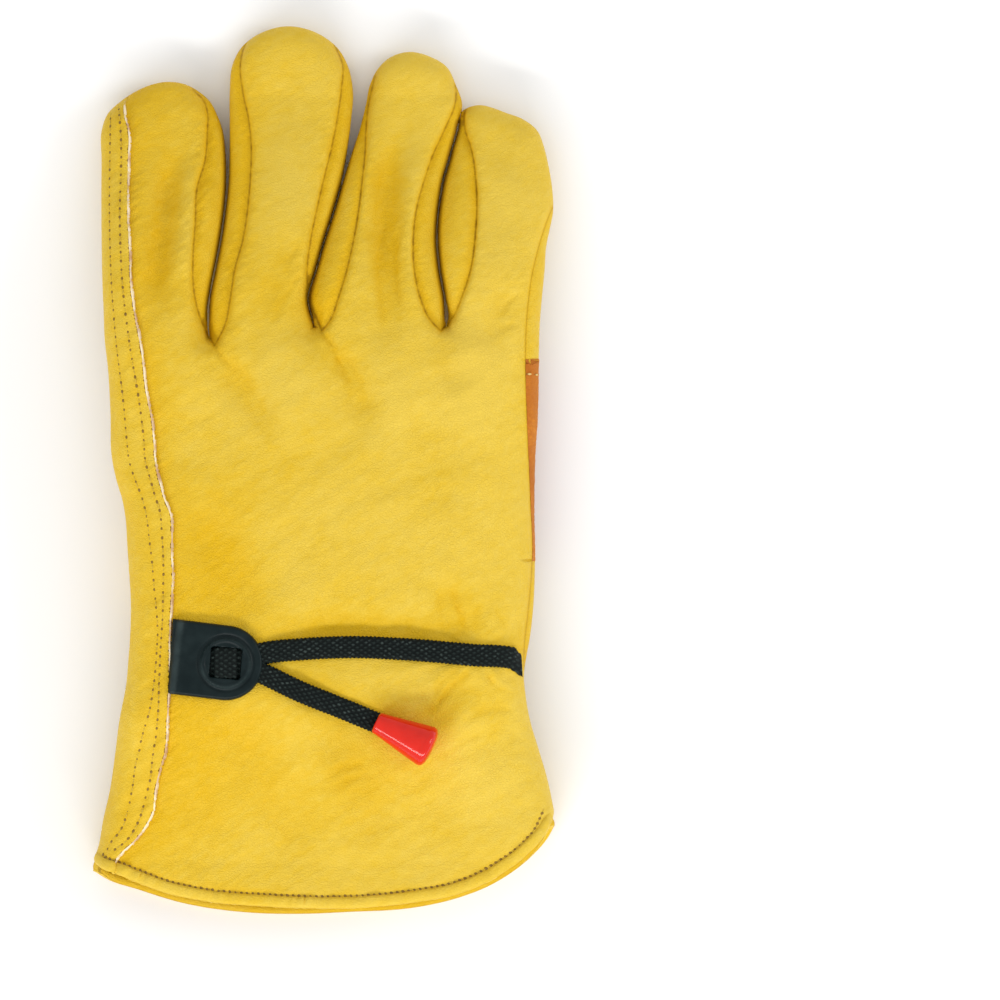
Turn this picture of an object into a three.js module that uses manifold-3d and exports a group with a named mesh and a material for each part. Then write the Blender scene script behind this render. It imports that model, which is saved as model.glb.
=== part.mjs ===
// A right-hand leather work glove lying palm down, with its thumb folded under the palm.
// Millimetres, +X towards the little finger, +Y towards the fingertips, +Z up from the resting plane.
import * as THREE from "three";
import { mergeVertices } from "three/addons/utils/BufferGeometryUtils.js";
import Module from "manifold-3d";

const wasm = await Module();
wasm.setup();

// Driving dimensions
const GLOVE_LENGTH = 255;
const PALM_WIDTH = 123.2;
const HAND_DEPTH = 17;
const FINGER_DEPTH = 15.5;
const LEATHER = 1.5;
const SEAM_GAP = 0.3;
const EDGE_ROUND = 11;
const REST_FLAT = 0.6;
const HAND_BOW = 5;
const THUMB_LENGTH = 79;
const THUMB_WIDTH = 46;
const THUMB_DEPTH = 12;
const THUMB_ANGLE = 45.6;
const THUMB_HOLE_LENGTH = 38;
const THUMB_HOLE_WIDTH = 30;
const HEM_WIDTH = 3;
const HEM_RISE = 0.6;
const WELT_WIDTH = 2.2;
const WELT_RISE = 0.8;
const PATCH_THICKNESS = 1.2;
const STRAP_WIDTH = 6.2;
const STRAP_THICKNESS = 1.5;
const TAB_LENGTH = 26.6;
const TAB_WIDTH = 21.4;
const TAB_THICKNESS = 2;
const TAB_TURN = -7;
const DISC_DIAMETER = 14.4;
const DISC_RISE = 1;
const WINDOW_SIZE = 8.8;
const PULL_LENGTH = 18;
const PULL_NARROW = 6.3;
const PULL_WIDE = 12;

// Clear space between the folded thumb and the palm above it
const THUMB_CLEARANCE = 0.9;
const PALM_LIFT = THUMB_DEPTH + THUMB_CLEARANCE + PATCH_THICKNESS + SEAM_GAP + REST_FLAT;

// The height of the seam between the upper and lower panels, above the underside of the glove
const SEAM_LEVEL = 0.42 * FINGER_DEPTH;

// How finely a section is divided
const ARC_STEPS = 3;
const HAND_FLAT_STEPS = 12;
const FINGER_FLAT_STEPS = 3;
const SECTION_POWER = 2.3;
const DOME_ANGLES = [28, 55, 80];
const DOME_SPREAD_POWER = 0.9;
const DOME_HEIGHT_POWER = 0.7;
const ROUND_SHARE = 0.85;
const HOLE_STEPS = 28;
const LAYER_COLUMNS = 6;
const LAYER_ROWS = 15;
const DISC_STEPS = 24;
const TAB_STEP = 15;
const TALL = 80;
const SPECK = 1;

const rowsOf = (columns, ...rows) =>
  rows.map((row) => Object.fromEntries(columns.map((column, i) => [column, row[i]])));

// Hand sections from the cuff to the finger roots: at is a share of the length from the cuff,
// left and right are shares of the palm width, low, high and crown are shares of the hand depth.
const HAND_SECTIONS = rowsOf(
  ["at", "left", "right", "low", "high", "crown"],
  [-0.03, -0.537, 0.545, 0, 1.3, 0.04],
  [0.048, -0.533, 0.543, 0, 1.28, 0.04],
  [0.096, -0.513, 0.543, 0, 1.24, 0.05],
  [0.133, -0.498, 0.534, 0, 1.18, 0.06],
  [0.163, -0.488, 0.508, 0, 1.1, 0.06],
  [0.207, -0.47, 0.485, 0, 1.0, 0.08],
  [0.253, -0.455, 0.477, 0, 0.92, 0.1],
  [0.29, -0.447, 0.475, 0, 0.87, 0.1],
  [0.332, -0.443, 0.48, 0, 0.88, 0.12],
  [0.381, -0.443, 0.487, 0, 0.88, 0.14],
  [0.433, -0.453, 0.485, 0, 0.88, 0.14],
  [0.489, -0.476, 0.484, 0, 0.88, 0.14],
  [0.545, -0.49, 0.488, 0, 0.87, 0.12],
  [0.596, -0.496, 0.492, 0, 0.86, 0.07],
  [0.652, -0.497, 0.492, 0.02, 0.8, 0],
  [0.668, -0.488, 0.485, 0.13, 0.72, 0],
  [0.678, -0.475, 0.475, 0.27, 0.6, 0],
);

// Finger sections from inside the hand to where the tip starts to round off.
const FINGER_COLUMNS = ["at", "left", "right", "low", "high"];
const FINGERS = {
  index: {
    sections: rowsOf(
      FINGER_COLUMNS,
      [0.568, -0.475, -0.262, 0.1, 0.8],
      [0.64, -0.501, -0.252, 0, 0.94],
      [0.688, -0.506, -0.262, 0, 0.95],
      [0.76, -0.508, -0.242, 0, 0.95],
      [0.824, -0.508, -0.224, 0, 0.9],
      [0.866, -0.506, -0.229, 0, 0.86],
    ),
    tip: { at: 0.938, across: -0.366 },
  },
  middle: {
    sections: rowsOf(
      FINGER_COLUMNS,
      [0.568, -0.234, -0.01, 0.1, 0.8],
      [0.64, -0.244, -0.011, 0, 0.96],
      [0.688, -0.253, -0.027, 0, 0.98],
      [0.76, -0.235, -0.003, 0, 0.97],
      [0.824, -0.216, 0.038, 0, 0.93],
      [0.875, -0.218, 0.061, 0, 0.88],
      [0.933, -0.215, 0.068, 0, 0.8],
    ),
    tip: { at: 1, across: -0.078 },
  },
  ring: {
    sections: rowsOf(
      FINGER_COLUMNS,
      [0.568, 0.012, 0.25, 0.1, 0.8],
      [0.646, 0.001, 0.268, 0, 0.95],
      [0.688, -0.015, 0.277, 0, 0.97],
      [0.76, 0.006, 0.26, 0, 0.96],
      [0.824, 0.046, 0.27, 0, 0.91],
      [0.875, 0.073, 0.299, 0, 0.86],
      [0.905, 0.09, 0.319, 0, 0.82],
    ),
    tip: { at: 0.971, across: 0.203 },
  },
  little: {
    sections: rowsOf(
      FINGER_COLUMNS,
      [0.568, 0.273, 0.475, 0.1, 0.78],
      [0.646, 0.279, 0.499, 0, 0.9],
      [0.688, 0.287, 0.508, 0, 0.92],
      [0.76, 0.27, 0.527, 0, 0.9],
      [0.815, 0.28, 0.535, 0, 0.86],
      [0.852, 0.298, 0.52, 0, 0.82],
      [0.88, 0.318, 0.501, 0, 0.76],
    ),
    tip: { at: 0.911, across: 0.402 },
  },
};

// Thumb sections from the heel of the palm to where its tip rounds off: along is a share of the
// thumb length, width of the thumb width, low and high of the thumb depth.
const THUMB_ROOT = { across: -0.257, at: 0.399 };
const THUMB_SECTIONS = rowsOf(
  ["along", "width", "low", "high"],
  [-0.31, 0.42, 0.2, 0.8],
  [-0.25, 0.72, 0, 1],
  [-0.1, 0.95, 0, 1],
  [0.15, 0.98, 0, 1],
  [0.4, 0.82, 0, 1],
  [0.65, 0.7, 0, 1],
  [0.83, 0.64, 0, 0.95],
);

// How far the palm is held up by the thumb, as a share of the lift, at shares of the length.
const LIFT_STATIONS = rowsOf(
  ["at", "lift"],
  [0.06, 0],
  [0.11, 0.16],
  [0.18, 0.58],
  [0.25, 0.96],
  [0.3, 1],
  [0.63, 1],
  [0.7, 0.9],
  [0.78, 0.55],
  [0.86, 0.18],
  [0.92, 0],
);
const DROOP = { from: 0.3, to: 0.52, share: 0.45 };

// Dents and folds of the back: start and end as shares of palm width and length,
// width and depth as shares of the hand depth; a negative depth is a valley.
const FOLDS = rowsOf(
  ["x0", "y0", "x1", "y1", "width", "depth"],
  [-0.25, 0.64, -0.17, 0.58, 0.42, -0.14],
  [0.0, 0.656, 0.08, 0.59, 0.42, -0.14],
  [0.276, 0.656, 0.31, 0.6, 0.4, -0.1],
  [-0.11, 0.3, 0.42, 0.288, 0.5, -0.08],
  [0.42, 0.3, 0.3, 0.36, 0.45, -0.08],
  [0.4, 0.26, 0.28, 0.21, 0.5, -0.07],
  [0.155, 0.87, 0.155, 0.71, 0.32, -0.13],
  [-0.36, 0.85, -0.365, 0.77, 0.35, -0.06],
  [-0.2, 0.22, -0.02, 0.06, 0.7, -0.08],
  [-0.05, 0.25, 0.15, 0.06, 0.7, -0.06],
  [-0.36, 0.46, -0.34, 0.24, 0.45, 0.06],
);

// Seam lines of the back panel as shares of palm width and length, each from the crotch or cuff up.
const RAW_EDGE = [
  [-0.494, 0.017], [-0.483, 0.048], [-0.433, 0.085], [-0.387, 0.129], [-0.364, 0.181], [-0.348, 0.309],
  [-0.343, 0.378], [-0.343, 0.431], [-0.361, 0.469], [-0.39, 0.519], [-0.402, 0.579], [-0.419, 0.642],
  [-0.444, 0.706], [-0.451, 0.799], [-0.455, 0.9], [-0.436, 0.961],
];
const INDEX_SEAM = [
  [-0.251, 0.64], [-0.292, 0.688], [-0.301, 0.76], [-0.295, 0.814], [-0.266, 0.871], [-0.284, 0.921],
  [-0.343, 0.95],
];
const MIDDLE_LEFT_SEAM = [
  [-0.251, 0.64], [-0.192, 0.745], [-0.173, 0.796], [-0.169, 0.885], [-0.188, 0.945], [-0.183, 0.979],
  [-0.169, 1.01],
];
const MIDDLE_RIGHT_SEAM = [
  [-0.01, 0.65], [-0.042, 0.688], [-0.042, 0.725], [-0.034, 0.76], [0.016, 0.867], [0.044, 0.94],
  [0.035, 0.979],
  [0.012, 1.01],
];
const RING_LEFT_SEAM = [
  [-0.01, 0.65], [0.03, 0.684], [0.079, 0.778], [0.101, 0.878], [0.115, 0.945], [0.135, 0.985],
];
const RING_RIGHT_SEAM = [
  [0.276, 0.65], [0.235, 0.685], [0.211, 0.74], [0.22, 0.806], [0.28, 0.882], [0.304, 0.921],
  [0.275, 0.985],
];
const LITTLE_LEFT_SEAM = [
  [0.276, 0.65], [0.335, 0.706], [0.353, 0.757], [0.355, 0.83], [0.343, 0.885], [0.34, 0.93],
];
const LITTLE_SIDE_SEAM = [
  [0.576, 0.154], [0.499, 0.169], [0.478, 0.197], [0.464, 0.25], [0.462, 0.29], [0.473, 0.354],
  [0.478, 0.45], [0.472, 0.6], [0.47, 0.691], [0.482, 0.724], [0.508, 0.764], [0.517, 0.8],
  [0.512, 0.838], [0.487, 0.875], [0.455, 0.93],
];
const BACK_HEM_EDGE = [
  [-0.575, 0.058], [-0.53, 0.055], [-0.434, 0.037], [-0.292, 0.018], [-0.149, 0.011], [0.0, 0.009],
  [0.148, 0.01], [0.248, 0.016], [0.328, 0.026], [0.408, 0.044], [0.48, 0.071], [0.524, 0.096],
  [0.545, 0.122], [0.56, 0.145],
];
const PALM_HEM_EDGE = [
  [-0.575, 0.055], [-0.52, 0.042], [-0.399, 0.024], [-0.256, 0.006], [-0.078, 0], [0.041, 0.001],
  [0.148, 0.004], [0.25, 0.012], [0.343, 0.025], [0.424, 0.044], [0.49, 0.073], [0.53, 0.105],
  [0.56, 0.14],
];
const WELT_LINE = [
  [-0.258, 0.682], [-0.245, 0.66], [-0.22, 0.645], [-0.157, 0.636], [-0.052, 0.633], [0.087, 0.632],
  [0.2, 0.635], [0.25, 0.645], [0.274, 0.66], [0.282, 0.682],
];
const PATCH_OUTLINE = [
  [-0.29, 0.62], [0.0, 0.615], [0.26, 0.618], [0.6, 0.612], [0.6, 0.4], [0.506, 0.403], [0.087, 0.475],
  [-0.3, 0.53],
];

// Routes on the back, as shares of palm width and length.
const TAB_CENTRE = [-0.221, 0.2815];
const STRAP_RUN = [
  [-0.2, 0.286], [-0.09, 0.299], [-0.048, 0.3], [0.057, 0.302], [0.206, 0.299], [0.353, 0.293],
  [0.45, 0.289], [0.466, 0.283],
];
const STRAP_TAIL = [
  [-0.2, 0.284], [-0.048, 0.252], [0.043, 0.234], [0.126, 0.218],
];
// The run and the tail part beside the tab's round end
const FORK_RADIUS = 0.6 * STRAP_WIDTH;
const PULL_START = [0.128, 0.2175];
const PULL_TURN = -25.4;

// Shares of the length where the gap between two fingers is measured, and beyond every fingertip
const GAP_STATIONS = [0.68, 0.688, 0.76, 0.824, 0.875];
const PAST_TIPS = 1.03;
const RING_GAP_END = [0.335, 0.92];

const acrossMm = (share) => share * PALM_WIDTH;
const alongMm = (share) => share * GLOVE_LENGTH;
const onGlove = (points) => points.map(([x, y]) => [acrossMm(x), alongMm(y)]);
const radians = THREE.MathUtils.degToRad;

function smoothBetween(rows, column, at) {
  const next = rows.findIndex((row) => row.at > at);
  if (next === 0) return rows[0][column];
  if (next < 0) return rows.at(-1)[column];
  const share = THREE.MathUtils.smoothstep(at, rows[next - 1].at, rows[next].at);
  return THREE.MathUtils.lerp(rows[next - 1][column], rows[next][column], share);
}

// How far the glove is held off the table at a place, by the thumb beneath it.
function liftAt(x, y) {
  const droop = THREE.MathUtils.smoothstep(x / PALM_WIDTH, DROOP.from, DROOP.to) * DROOP.share;
  return PALM_LIFT * smoothBetween(LIFT_STATIONS, "lift", y / GLOVE_LENGTH) * (1 - droop);
}

// The height that the folds add at a place on the back.
function foldAt(x, y) {
  let height = 0;
  for (const fold of FOLDS) {
    const start = new THREE.Vector2(acrossMm(fold.x0), alongMm(fold.y0));
    const run = new THREE.Vector2(acrossMm(fold.x1), alongMm(fold.y1)).sub(start);
    const place = new THREE.Vector2(x, y).sub(start);
    const share = THREE.MathUtils.clamp(place.dot(run) / run.lengthSq(), 0, 1);
    const distance = place.distanceTo(run.multiplyScalar(share)) / (fold.width * HAND_DEPTH);
    height += fold.depth * HAND_DEPTH * Math.exp(-distance * distance);
  }
  return height;
}

function solidOf(positions, triangles) {
  const mesh = { numProp: 3, vertProperties: new Float32Array(positions.flat()) };
  const solid = new wasm.Manifold(new wasm.Mesh({ ...mesh, triVerts: new Uint32Array(triangles.flat()) }));
  if (solid.volume() >= 0) return solid;
  const turned = triangles.map(([a, b, c]) => [a, c, b]);
  return new wasm.Manifold(new wasm.Mesh({ ...mesh, triVerts: new Uint32Array(turned.flat()) }));
}

// A closed solid through rings of points, each ring with as many points as the first.
function loft(rings) {
  const sides = rings[0].length;
  const positions = rings.flat();
  const triangles = [];
  for (let ring = 0; ring + 1 < rings.length; ring++) {
    for (let side = 0; side < sides; side++) {
      const a = ring * sides + side;
      const b = ring * sides + ((side + 1) % sides);
      triangles.push([a, b, b + sides], [a, b + sides, a + sides]);
    }
  }
  [rings[0], rings.at(-1)].forEach((ring, end) => {
    const middle = [0, 1, 2].map((axis) => ring.reduce((sum, point) => sum + point[axis], 0) / sides);
    const centre = positions.push(middle) - 1;
    const first = end * (rings.length - 1) * sides;
    for (let side = 0; side < sides; side++) {
      const a = first + side;
      const b = first + ((side + 1) % sides);
      triangles.push(end ? [a, b, centre] : [b, a, centre]);
    }
  });
  return solidOf(positions, triangles);
}

function solidOfGeometry(geometry) {
  geometry.deleteAttribute("normal");
  geometry.deleteAttribute("uv");
  const merged = mergeVertices(geometry, 1e-4);
  const points = merged.getAttribute("position");
  const place = new THREE.Vector3();
  const positions = Array.from({ length: points.count }, (_, i) => place.fromBufferAttribute(points, i).toArray());
  const corners = Array.from(merged.index.array);
  const triangles = [];
  for (let i = 0; i < corners.length; i += 3) triangles.push(corners.slice(i, i + 3));
  return solidOf(positions, triangles);
}

// An upright solid over an outline in millimetres.
function prism(outline, bottom = -TALL, top = TALL) {
  const shape = new THREE.Shape(outline.map(([x, y]) => new THREE.Vector2(x, y)));
  const geometry = new THREE.ExtrudeGeometry(shape, { depth: top - bottom, bevelEnabled: false });
  return solidOfGeometry(geometry.translate(0, 0, bottom));
}

// An upright band along a line, between two distances to the left of it.
function band(line, from, to) {
  const rings = line.map(([x, y], i) => {
    const [ax, ay] = line[Math.max(i - 1, 0)];
    const [bx, by] = line[Math.min(i + 1, line.length - 1)];
    const run = Math.hypot(bx - ax, by - ay);
    const beside = (distance, z) => [x - ((by - ay) / run) * distance, y + ((bx - ax) / run) * distance, z];
    return [beside(from, -TALL), beside(to, -TALL), beside(to, TALL), beside(from, TALL)];
  });
  return loft(rings);
}

// The upper or lower points of a section: round sides and a nearly flat middle.
function sectionPoints({ left, right, low, high, crown = 0, flatSteps }) {
  const halfWidth = (right - left) / 2;
  const round = Math.min(EDGE_ROUND, halfWidth * ROUND_SHARE);
  const flat = halfWidth - round;
  const centre = (left + right) / 2;
  const middle = (low + high) / 2;
  const halfHeight = (high - low) / 2;
  const quarter = [];
  for (let step = 0; step < ARC_STEPS; step++) {
    const angle = (Math.PI / 2) * (step / ARC_STEPS);
    quarter.push([
      flat + round * Math.cos(angle) ** (2 / SECTION_POWER),
      halfHeight * Math.sin(angle) ** (2 / SECTION_POWER),
    ]);
  }
  const flats = [];
  for (let step = 0; step <= flatSteps; step++) flats.push([flat * (1 - (2 * step) / flatSteps), halfHeight]);
  const mirrored = quarter.slice(1).reverse().map(([x, z]) => [-x, z]);
  const top = [...quarter, ...flats, ...mirrored];
  const bottom = top.map(([x, z]) => [-x, -z]);
  return [...top, [-halfWidth, 0], ...bottom.slice(1)].map(([x, z]) => {
    const bulge = z > 0 ? crown * (z / halfHeight) * (1 - (x / halfWidth) ** 2) : 0;
    return [centre + x, middle + z + bulge, z > 0 ? z / halfHeight : 0];
  });
}

// Places a section on the glove: the folds press its back and the thumb lifts it, and it is
// flattened where it would reach below the table.
function placed(points, y, inset, bow = 0) {
  const floor = Math.max(inset, 0);
  return points.map(([x, z, upward]) => {
    const bowed = y - bow * (x / PALM_WIDTH) ** 2;
    return [x, bowed, Math.max(z + upward * foldAt(x, bowed) + liftAt(x, bowed), floor)];
  });
}

function handBody(inset) {
  const rings = HAND_SECTIONS.map((row, i) => {
    const last = i === HAND_SECTIONS.length - 1;
    const y = alongMm(row.at) - (last ? inset : 0);
    const points = sectionPoints({
      left: acrossMm(row.left) + inset,
      right: acrossMm(row.right) - inset,
      low: row.low * HAND_DEPTH - REST_FLAT + inset,
      high: row.high * HAND_DEPTH - REST_FLAT - inset,
      crown: row.crown * HAND_DEPTH,
      flatSteps: HAND_FLAT_STEPS,
    });
    return placed(points, y, inset, HAND_BOW);
  });
  return loft(rings);
}

// Rounds off the end of a finger, with rings that shrink from its last section to its tip.
function domeRows(last, reach, tipCentre) {
  const centre = (last.left + last.right) / 2;
  const middle = (last.low + last.high) / 2;
  return DOME_ANGLES.map(radians).map((angle) => {
    const rise = Math.sin(angle);
    const place = THREE.MathUtils.lerp(centre, tipCentre, rise);
    const halfWidth = ((last.right - last.left) / 2) * Math.cos(angle) ** DOME_SPREAD_POWER;
    const halfHeight = ((last.high - last.low) / 2) * Math.cos(angle) ** DOME_HEIGHT_POWER;
    return {
      along: last.along + (reach - last.along) * rise,
      left: place - halfWidth,
      right: place + halfWidth,
      low: middle - halfHeight,
      high: middle + halfHeight,
    };
  });
}

function fingerBody({ sections, tip }, inset) {
  const sized = sections.map((row) => ({
    along: alongMm(row.at),
    left: acrossMm(row.left) + inset,
    right: acrossMm(row.right) - inset,
    low: row.low * FINGER_DEPTH - REST_FLAT + inset,
    high: row.high * FINGER_DEPTH - REST_FLAT - inset,
  }));
  sized.push(...domeRows(sized.at(-1), alongMm(tip.at) - inset, acrossMm(tip.across)));
  return loft(sized.map((row) => placed(sectionPoints({ ...row, flatSteps: FINGER_FLAT_STEPS }), row.along, inset)));
}

// The whole hand and its fingers as one body, its surface moved inwards by the inset.
function gloveBody(inset) {
  return Object.values(FINGERS).reduce((body, finger) => body.add(fingerBody(finger, inset)), handBody(inset));
}

// A layer that follows the lift of the glove, between two heights above its underside.
function layer(bottom, top) {
  const evenly = (count, from, to) => Array.from({ length: count }, (_, i) => from + ((to - from) * i) / (count - 1));
  const across = evenly(LAYER_COLUMNS, -0.68, 0.68).map(acrossMm);
  const along = evenly(LAYER_ROWS, -0.1, 1.1).map(alongMm);
  const rings = along.map((y) => [
    ...across.map((x) => [x, y, bottom + liftAt(x, y)]),
    ...across.map((x) => [x, y, top + liftAt(x, y)]).reverse(),
  ]);
  return loft(rings);
}

// A point of the thumb's own frame, along its axis and across it, on the glove.
function onThumb(along, across) {
  const angle = radians(THUMB_ANGLE);
  return [
    acrossMm(THUMB_ROOT.across) + along * Math.cos(angle) - across * Math.sin(angle),
    alongMm(THUMB_ROOT.at) + along * Math.sin(angle) + across * Math.cos(angle),
  ];
}

function thumbBody(inset) {
  const sized = THUMB_SECTIONS.map((row, i) => ({
    along: row.along * THUMB_LENGTH + (i === 0 ? inset : 0),
    left: (-row.width * THUMB_WIDTH) / 2 + inset,
    right: (row.width * THUMB_WIDTH) / 2 - inset,
    low: row.low * THUMB_DEPTH - (row.low ? 0 : REST_FLAT) + inset,
    high: row.high * THUMB_DEPTH - inset,
  }));
  sized.push(...domeRows(sized.at(-1), THUMB_LENGTH - inset, 0));
  const rings = sized.map((row) =>
    sectionPoints({ ...row, flatSteps: FINGER_FLAT_STEPS }).map(([across, z]) => [
      ...onThumb(row.along, across),
      Math.max(z, inset, 0),
    ]),
  );
  return loft(rings);
}

// The oval where the thumb is sewn to the palm, wider by a margin.
function thumbHole(margin) {
  const outline = Array.from({ length: HOLE_STEPS }, (_, i) => {
    const angle = (2 * Math.PI * i) / HOLE_STEPS;
    const along = (THUMB_HOLE_LENGTH / 2 + margin) * Math.cos(angle);
    return onThumb(along, (THUMB_HOLE_WIDTH / 2 + margin) * Math.sin(angle));
  });
  return prism(outline, THUMB_DEPTH / 2, PALM_LIFT + HAND_DEPTH / 2);
}

// The closure tab's outline: straight sides and one round end, wider by a margin.
function tabOutline(margin) {
  const radius = TAB_WIDTH / 2 + margin;
  const straight = TAB_LENGTH - TAB_WIDTH / 2 + margin;
  const points = [[-straight, radius], [-straight, -radius]];
  for (let angle = -90; angle <= 90; angle += TAB_STEP) {
    points.push([radius * Math.cos(radians(angle)), radius * Math.sin(radians(angle))]);
  }
  return turned(points, TAB_TURN, TAB_CENTRE);
}

function turned(points, degrees, [across, at]) {
  const angle = radians(degrees);
  return points.map(([x, y]) => [
    acrossMm(across) + x * Math.cos(angle) - y * Math.sin(angle),
    alongMm(at) + x * Math.sin(angle) + y * Math.cos(angle),
  ]);
}

function circlePoints(radius, count) {
  return Array.from({ length: count }, (_, i) => [
    radius * Math.cos((2 * Math.PI * i) / count),
    radius * Math.sin((2 * Math.PI * i) / count),
  ]);
}

const squarePoints = (size) => [[-1, -1], [1, -1], [1, 1], [-1, 1]].map(([x, y]) => [(x * size) / 2, (y * size) / 2]);

const outer = gloveBody(0);
const inner = gloveBody(LEATHER);
const shell = outer.subtract(inner);
const upper = layer(SEAM_LEVEL + SEAM_GAP / 2, TALL);
const above = layer(SEAM_LEVEL - SEAM_GAP / 2, TALL);

// Raised cover on the glove between two distances from its surface.
const coverBetween = (from, to) => gloveBody(-to).subtract(gloveBody(-from));

const lines = {
  rawEdge: onGlove(RAW_EDGE),
  index: onGlove(INDEX_SEAM),
  middleLeft: onGlove(MIDDLE_LEFT_SEAM),
  middleRight: onGlove(MIDDLE_RIGHT_SEAM),
  ringLeft: onGlove(RING_LEFT_SEAM),
  ringRight: onGlove(RING_RIGHT_SEAM),
  littleLeft: onGlove(LITTLE_LEFT_SEAM),
  littleSide: onGlove(LITTLE_SIDE_SEAM),
  backHem: onGlove(BACK_HEM_EDGE),
  palmHem: onGlove(PALM_HEM_EDGE),
  welt: onGlove(WELT_LINE),
};

const seams = Object.values(lines)
  .slice(0, 8)
  .map((line) => band(line, -SEAM_GAP / 2, SEAM_GAP / 2))
  .reduce((joined, seam) => joined.add(seam));

const backOutline = [
  ...lines.rawEdge,
  ...[...lines.index].reverse(),
  ...lines.middleLeft.slice(1),
  ...[...lines.middleRight].reverse(),
  ...lines.ringLeft.slice(1),
  ...[...lines.ringRight].reverse(),
  ...lines.littleLeft.slice(1),
  ...[...lines.littleSide].reverse(),
  ...[...lines.backHem].reverse().filter(([x]) => x > acrossMm(RAW_EDGE[0][0])),
];
const backSpace = prism(backOutline);

// The space between two finger seams, from their crotch to beyond the fingertips.
function gussetSpace(leftSeam, rightSeam) {
  const past = alongMm(PAST_TIPS);
  return prism([
    ...leftSeam,
    [leftSeam.at(-1)[0], past],
    [rightSeam.at(-1)[0], past],
    ...rightSeam.slice(1).reverse(),
  ]);
}
const gussetSpaces = {
  index_middle_gusset: gussetSpace(lines.index, lines.middleLeft),
  middle_ring_gusset: gussetSpace(lines.middleRight, lines.ringLeft),
  ring_little_gusset: gussetSpace(lines.ringRight, lines.littleLeft),
};

const rimGap = HEM_WIDTH + SEAM_GAP;
const backRim = band(lines.backHem, -TALL / 2, rimGap);
const palmRim = band(lines.palmHem, -TALL / 2, rimGap);

function backPanel() {
  return shell.intersect(upper).intersect(backSpace).subtract(seams).subtract(backRim);
}

function gusset(name) {
  return shell.intersect(upper).intersect(gussetSpaces[name]).subtract(seams);
}

// Everything below the seams, with the index side wrapped up to the raw edge and the little
// finger side up to its seam on the back.
function palmSide() {
  const topSpace = Object.values(gussetSpaces).reduce((space, next) => space.add(next), backSpace.add(seams));
  const wholeRim = above.intersect(backRim).add(palmRim.subtract(above));
  return shell.subtract(above.intersect(topSpace)).subtract(wholeRim);
}

// The middle line of the gap between two neighbouring fingers.
function gapBetween(leftFinger, rightFinger) {
  return GAP_STATIONS.map((at) => {
    const right = smoothBetween(leftFinger.sections, "right", at);
    const left = smoothBetween(rightFinger.sections, "left", at);
    return [acrossMm((left + right) / 2), alongMm(at)];
  });
}

function middleRingSpace() {
  const past = alongMm(PAST_TIPS);
  const leftGap = gapBetween(FINGERS.index, FINGERS.middle);
  const rightGap = gapBetween(FINGERS.ring, FINGERS.little);
  return prism([
    ...lines.welt.slice(1, -1),
    ...rightGap,
    ...onGlove([RING_GAP_END]),
    [acrossMm(RING_GAP_END[0]), past],
    [leftGap.at(-1)[0], past],
    ...leftGap.reverse(),
  ]);
}

// The welt stops short of the finger webs, and the seam beside it runs on into them.
const weltSeam = band(lines.welt, -WELT_WIDTH / 2 - SEAM_GAP, WELT_WIDTH / 2 + SEAM_GAP);

function palmWelt() {
  const strip = band(lines.welt.slice(1, -1), -WELT_WIDTH / 2, WELT_WIDTH / 2);
  return gloveBody(-WELT_RISE).subtract(inner).subtract(above).intersect(strip);
}

function thumb() {
  const collar = thumbHole(LEATHER);
  const hollow = thumbBody(LEATHER).add(thumbHole(0));
  return thumbBody(0).add(collar).subtract(hollow).subtract(gloveBody(-SEAM_GAP));
}

function palmPatch() {
  const pastSide = [acrossMm(0.7), lines.littleSide.at(-1)[1]];
  const besideSeam = prism([...lines.littleSide.slice(1), pastSide, [acrossMm(0.7), lines.littleSide[1][1]]]);
  const hidden = above.subtract(besideSeam.subtract(seams));
  return coverBetween(SEAM_GAP, SEAM_GAP + PATCH_THICKNESS)
    .intersect(prism(onGlove(PATCH_OUTLINE)))
    .subtract(hidden)
    .subtract(thumbHole(LEATHER + SEAM_GAP));
}

// The rolled rim of the cuff along an edge of the back or the palm.
function hem(edge) {
  return gloveBody(-HEM_RISE).subtract(inner).intersect(band(edge, 0, HEM_WIDTH));
}

function closureTab() {
  const plate = coverBetween(SEAM_GAP, SEAM_GAP + TAB_THICKNESS).intersect(prism(tabOutline(0), 0));
  const disc = prism(turned(circlePoints(DISC_DIAMETER / 2, DISC_STEPS), 0, TAB_CENTRE), 0);
  const raised = coverBetween(SEAM_GAP, SEAM_GAP + TAB_THICKNESS + DISC_RISE).intersect(disc);
  const window = prism(turned(squarePoints(WINDOW_SIZE), 0, TAB_CENTRE));
  return plate.add(raised).intersect(upper).subtract(window);
}

function strapCover() {
  return coverBetween(SEAM_GAP, SEAM_GAP + STRAP_THICKNESS).intersect(upper);
}

function strap() {
  const half = STRAP_WIDTH / 2;
  const pastTab = circlePoints(FORK_RADIUS, DISC_STEPS).map(([x, y]) => [x + TAB_WIDTH / 2, y]);
  const fork = prism(turned(pastTab, 0, TAB_CENTRE));
  const tape = band(onGlove(STRAP_RUN), -half, half).add(band(onGlove(STRAP_TAIL), -half, half)).add(fork);
  return strapCover().intersect(tape).subtract(prism(tabOutline(SEAM_GAP)));
}

function strapInWindow() {
  const web = prism(turned(squarePoints(WINDOW_SIZE - 2 * SEAM_GAP), 0, TAB_CENTRE));
  return strapCover().intersect(web);
}

// The height of the glove's back under a small round spot.
function backHeight([x, y]) {
  const spot = prism(circlePoints(2, 12).map(([dx, dy]) => [x + dx, y + dy]));
  return outer.intersect(spot).boundingBox().max[2];
}

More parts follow.
